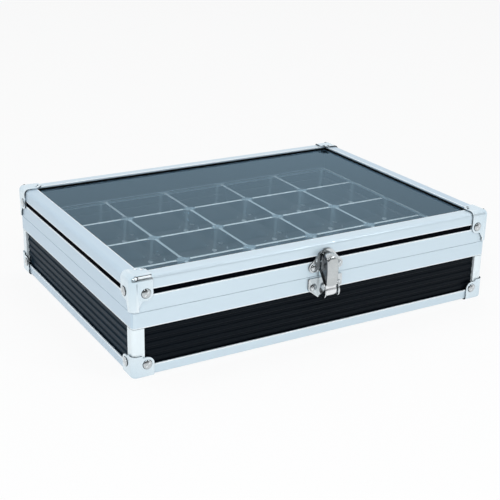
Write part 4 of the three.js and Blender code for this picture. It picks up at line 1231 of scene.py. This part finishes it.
def lever_shell():
    """The lever as one drawn skin: face, rounded edges and cheeks, with a step that bows down at its
    middle. The cheeks have a dark copy of the nickel, a painted shade, and the nose a pale copy, a painted
    highlight."""
    bm = bmesh.new()
    rows = []
    for z, half, front, radius, back, bow in lever_levels():
        radius = min(radius, half * 0.98, max(0.02, front - back - 0.02))
        section = [(half, back + (front - radius - back) * k / 4) for k in range(4)]
        section += arc_points(half - radius, front - radius, radius, 0, 90, 7)
        section += [((half - radius) * (1 - k / 5), front) for k in range(1, 5)]
        section += [(0.0, front)] + [(-x, d) for x, d in reversed(section)]
        share = min(1.0, max(0.0, 1 - (z - STEP_Z) / STEP_FADE))
        row = []
        for x, d in section:
            drop = STEP_BOW * bow * (1 - min(1.0, abs(x) / LEVER_HALF) ** 2)
            row.append(bm.verts.new((x, -d, z - drop * share)))
        rows.append(row)
    skin(bm, rows, ends=None, closed=False)
    bm.faces.new(rows[0])
    settle(bm, 1e-4)
    if sum(f.normal.y * f.calc_area() for f in bm.faces) > 0:
        bmesh.ops.reverse_faces(bm, faces=bm.faces)
    for face in bm.faces:
        # Cheeks get the dark copy, a painted shade; the nose below the step the pale copy, a painted
        # highlight
        if abs(face.normal.x) > 0.72:
            face.material_index = 2
        elif face.calc_center_median().z < STEP_Z - 0.6:
            face.material_index = 3
    return bm


keys = "nickel_face edge nickel_cheek nickel_lip"
lever = new_object("latch_lever_drawn", lever_shell(), keys, LATCH, weighted=False)
sheet = lever.modifiers.new("sheet", "SOLIDIFY")
sheet.thickness = 0.9 * MM
sheet.offset = -1
sheet.material_offset = 1
sheet.material_offset_rim = 0
weigh_normals(lever)
assign(lever, "latch_lever", "nickel", "latch_lever")


def bail_wire():
    """The bent wire: two feet, two legs and a cross bar, with round bends."""
    wire_r, bend_r, leg_x, foot_x = 0.8, 1.6, 3.4, 5.4
    foot = Vector((0, -5.88, -13.7))
    bar = Vector((0, -4.0, 11.2))
    corners = [foot - Vector((foot_x, 0, 0)), foot - Vector((leg_x, 0, 0)), bar - Vector((leg_x, 0, 0))]
    corners += [Vector((-v.x, v.y, v.z)) for v in reversed(corners)]
    path = [corners[0]]
    for before, here, after in zip(corners, corners[1:], corners[2:]):
        into, out = (before - here).normalized(), (after - here).normalized()
        centre = here + (into + out) * bend_r
        path += [centre - out * c - into * s for c, s in arc_points(0, 0, bend_r, 0, 90, 6)]
    path.append(corners[-1])
    across = Vector((1, 0, 0)).cross((bar - foot).normalized())
    bm = bmesh.new()
    rows = []
    for i, point in enumerate(path):
        along = (path[min(i + 1, len(path) - 1)] - path[max(i - 1, 0)]).normalized()
        aside = along.cross(across)
        rows.append([bm.verts.new(point + (across * c + aside * s) * wire_r) for c, s in circle(16)])
    return settle(skin(bm, rows))


looks = {"matrix": LATCH, "sharp": 50}
piece("latch_bail_wire", bail_wire(), "nickel", "latch_bail", "nickel", "latch_bail", **looks)

for hand, side in (("left", -1), ("right", 1)):
    for kind, height, body in (
        ("latch_base_rivet", BASE_RIVET_Z, "base"),
        ("latch_catch_rivet", CATCH_RIVET_Z, "lid"),
    ):
        at = LATCH @ move(side * RIVET_X, -PLATE_FRONT, height) @ FRONT_OUT
        dome_rivet(f"{kind}_{hand}_head", 2.6, 1.4, at, body, f"{kind}_{hand}")
    at = LATCH @ move(side * EAR_OUT, -PIVOT_D, PIVOT_Z) @ turned(side * 90, "Y")
    node = f"latch_pivot_{hand}"
    dome_rivet(f"{node}_head", 2.2, 0.8, at, "base", node, key="nickel_dark")

# Hinges, each in its own frame at the back rail's face and the seam

HINGE_X, HINGE_HALF = 98.0, 16.0
LEAF_NEAR, LEAF_FAR, LEAF_WALL = 2.85, 13.0, 1.2
PIN_D, KNUCKLE_R, PIN_R, PIN_HEAD_R = 2.85, 2.6, 1.2, 1.8


def hinge_leaf(name, side, runs, at, body, node):
    """A leaf above (side 1) or below (side -1) the seam, with a knuckle over each run of the pin."""
    near, far = side * LEAF_NEAR, side * LEAF_FAR
    leaf_front = PLATE_BACK + LEAF_WALL
    outline = [(-HINGE_HALF, near), (HINGE_HALF, near), (HINGE_HALF, far, 2.0), (-HINGE_HALF, far, 2.0)]
    parts = [plate_bm(rounded(outline, 6), PLATE_BACK, leaf_front)]
    for start, end in runs:
        parts.append(rod_bm(KNUCKLE_R, (start, -PIN_D, 0), (end, -PIN_D, 0)))
        parts.append(box_bm(start, end, -leaf_front, -PLATE_BACK, *sorted((side * 0.4, near + side))))
    bore = rod_bm(PIN_R + 0.08, (-20, -PIN_D, 0), (20, -PIN_D, 0))
    fitting(name, parts, [bore], at, 0.22, body, node)
    for letter, x in (("a", -8), ("b", 8)):
        head = at @ move(x, -leaf_front, far * 0.62) @ FRONT_OUT
        dome_rivet(f"{name}_head_{letter}", 2.2, 1.0, head, body)


def hinge_pin():
    end = HINGE_HALF + 0.25
    half = [(0, end + 0.8), (1.4, end + 0.8), (PIN_HEAD_R, end + 0.45), (PIN_HEAD_R, end), (PIN_R, end)]
    profile = [(radius, -z) for radius, z in half] + half[::-1]
    bm = bmesh.new()
    lathe(bm, profile, 32, move(0, -PIN_D, 0) @ turned(90, "Y"))
    return settle(bm)


for hand, x in (("left", -HINGE_X), ("right", HINGE_X)):
    at = move(x, DEPTH / 2 - FACE + SHIFT, SEAM) @ turned(180, "Z")
    inner = HINGE_HALF / 3
    outer_runs = [(-HINGE_HALF, -inner - GAP / 2), (inner + GAP / 2, HINGE_HALF)]
    for kind, side, runs, body in (
        ("base", -1, outer_runs, "base"),
        ("lid", 1, [(GAP / 2 - inner, inner - GAP / 2)], "lid"),
    ):
        node = f"hinge_{kind}_leaf_{hand}"
        hinge_leaf(f"{node}_rolled", side, runs, at, body, node)
    node = f"hinge_pin_{hand}"
    piece(f"{node}_turned", hinge_pin(), "nickel", "base", "nickel", node, matrix=at)

# Stage, light and camera, in metres


def stage_floor():
    """A white floor that also glows a little for the camera and in reflections."""
    bm = bmesh.new()
    bmesh.ops.create_grid(bm, x_segments=8, y_segments=8, size=14.0)
    floor = add_object("floor", to_mesh("floor", bm))
    n = Nodes("floor_white")
    tone = n.mix(n.noise(0.002, 2, 0.5), (0.84, 0.84, 0.84), (0.86, 0.86, 0.86))
    body = n.principled(tone, 0.9, Specular_IOR_Level=0.0)
    glow = n.make("ShaderNodeEmission", "Emission", {"Color": (1, 1, 1), "Strength": 1.0})
    seen = n.math("MAXIMUM", n.math("MAXIMUM", n.ray("Camera"), n.ray("Glossy")), n.ray("Transmission"))
    floor.data.materials.append(n.close(n.shade(n.math("MULTIPLY", seen, 0.86), body, glow)))


def world():
    """White for the camera and through clear sheets, a soft tone for light, and for reflections
    a white room with one dim side, in front of the case and up to the left."""
    n = Nodes("studio", "worlds", "ShaderNodeOutputWorld")

    def ground(colour, strength):
        return n.make("ShaderNodeBackground", "Background", {"Color": colour, "Strength": strength})

    dim_side = list(Vector((-0.22, -0.84, 0.50)).normalized())
    inputs = {0: n.make("ShaderNodeTexCoord", "Generated", {}), 1: dim_side}
    facing = n.make("ShaderNodeVectorMath", "Value", inputs, operation="DOT_PRODUCT")
    dim = n.span(facing, 1.0, 0.10, 0.35, 0.88, interpolation_type="SMOOTHERSTEP")
    soft, mirror = ground((0.97, 0.985, 1.0), 0.60), ground((0.98, 0.99, 1.0), dim)
    direct = n.math("MAXIMUM", n.ray("Camera"), n.ray("Transmission"))
    lit = n.shade(n.ray("Glossy"), soft, mirror)
    bpy.context.scene.world = n.close(n.shade(direct, lit, ground((1, 1, 1), 1.0)))


def area(name, place, target, size, energy, mirrored=False):
    light = bpy.data.lights.new(name, "AREA")
    light.shape = "RECTANGLE"
    light.size, light.size_y = size
    light.energy = energy
    obj = add_object(name, light)
    obj.location = place
    obj.visible_glossy = mirrored
    obj.rotation_mode = "QUATERNION"
    obj.rotation_quaternion = (Vector(target) - Vector(place)).to_track_quat("-Z", "Y")


stage_floor()
world()
area("key", (-0.75, -1.25, 0.8), (0, 0, 0.03), (1.2, 0.8), 9.9)
area("top", (0.3, 0.4, 1.9), (0, 0, 0.05), (1.4, 1.4), 5.0)
area("spark_left", (-0.50, -0.76, 1.30), (0, 0, 0.06), (0.24, 0.24), 2.9, mirrored=True)
area("spark_right", (0.75, -1.0, 1.05), (0, 0, 0.06), (0.22, 0.22), 1.7, mirrored=True)

data = bpy.data.cameras.new("camera")
data.lens = 76.14
data.sensor_width = 36.0
data.sensor_fit = "HORIZONTAL"
data.clip_start = 0.01
data.clip_end = 100
camera = add_object("camera", data)
azimuth, pitch, roll = 30.33, 21.11, 1.1459156
aim = turned(-azimuth, "Z") @ turned(90 - pitch, "X") @ turned(roll, "Z")
camera.matrix_world = move(-0.4365, -0.7473, 0.3659) @ aim
bpy.context.scene.camera = camera

bpy.context.scene.view_settings.view_transform = "Standard"
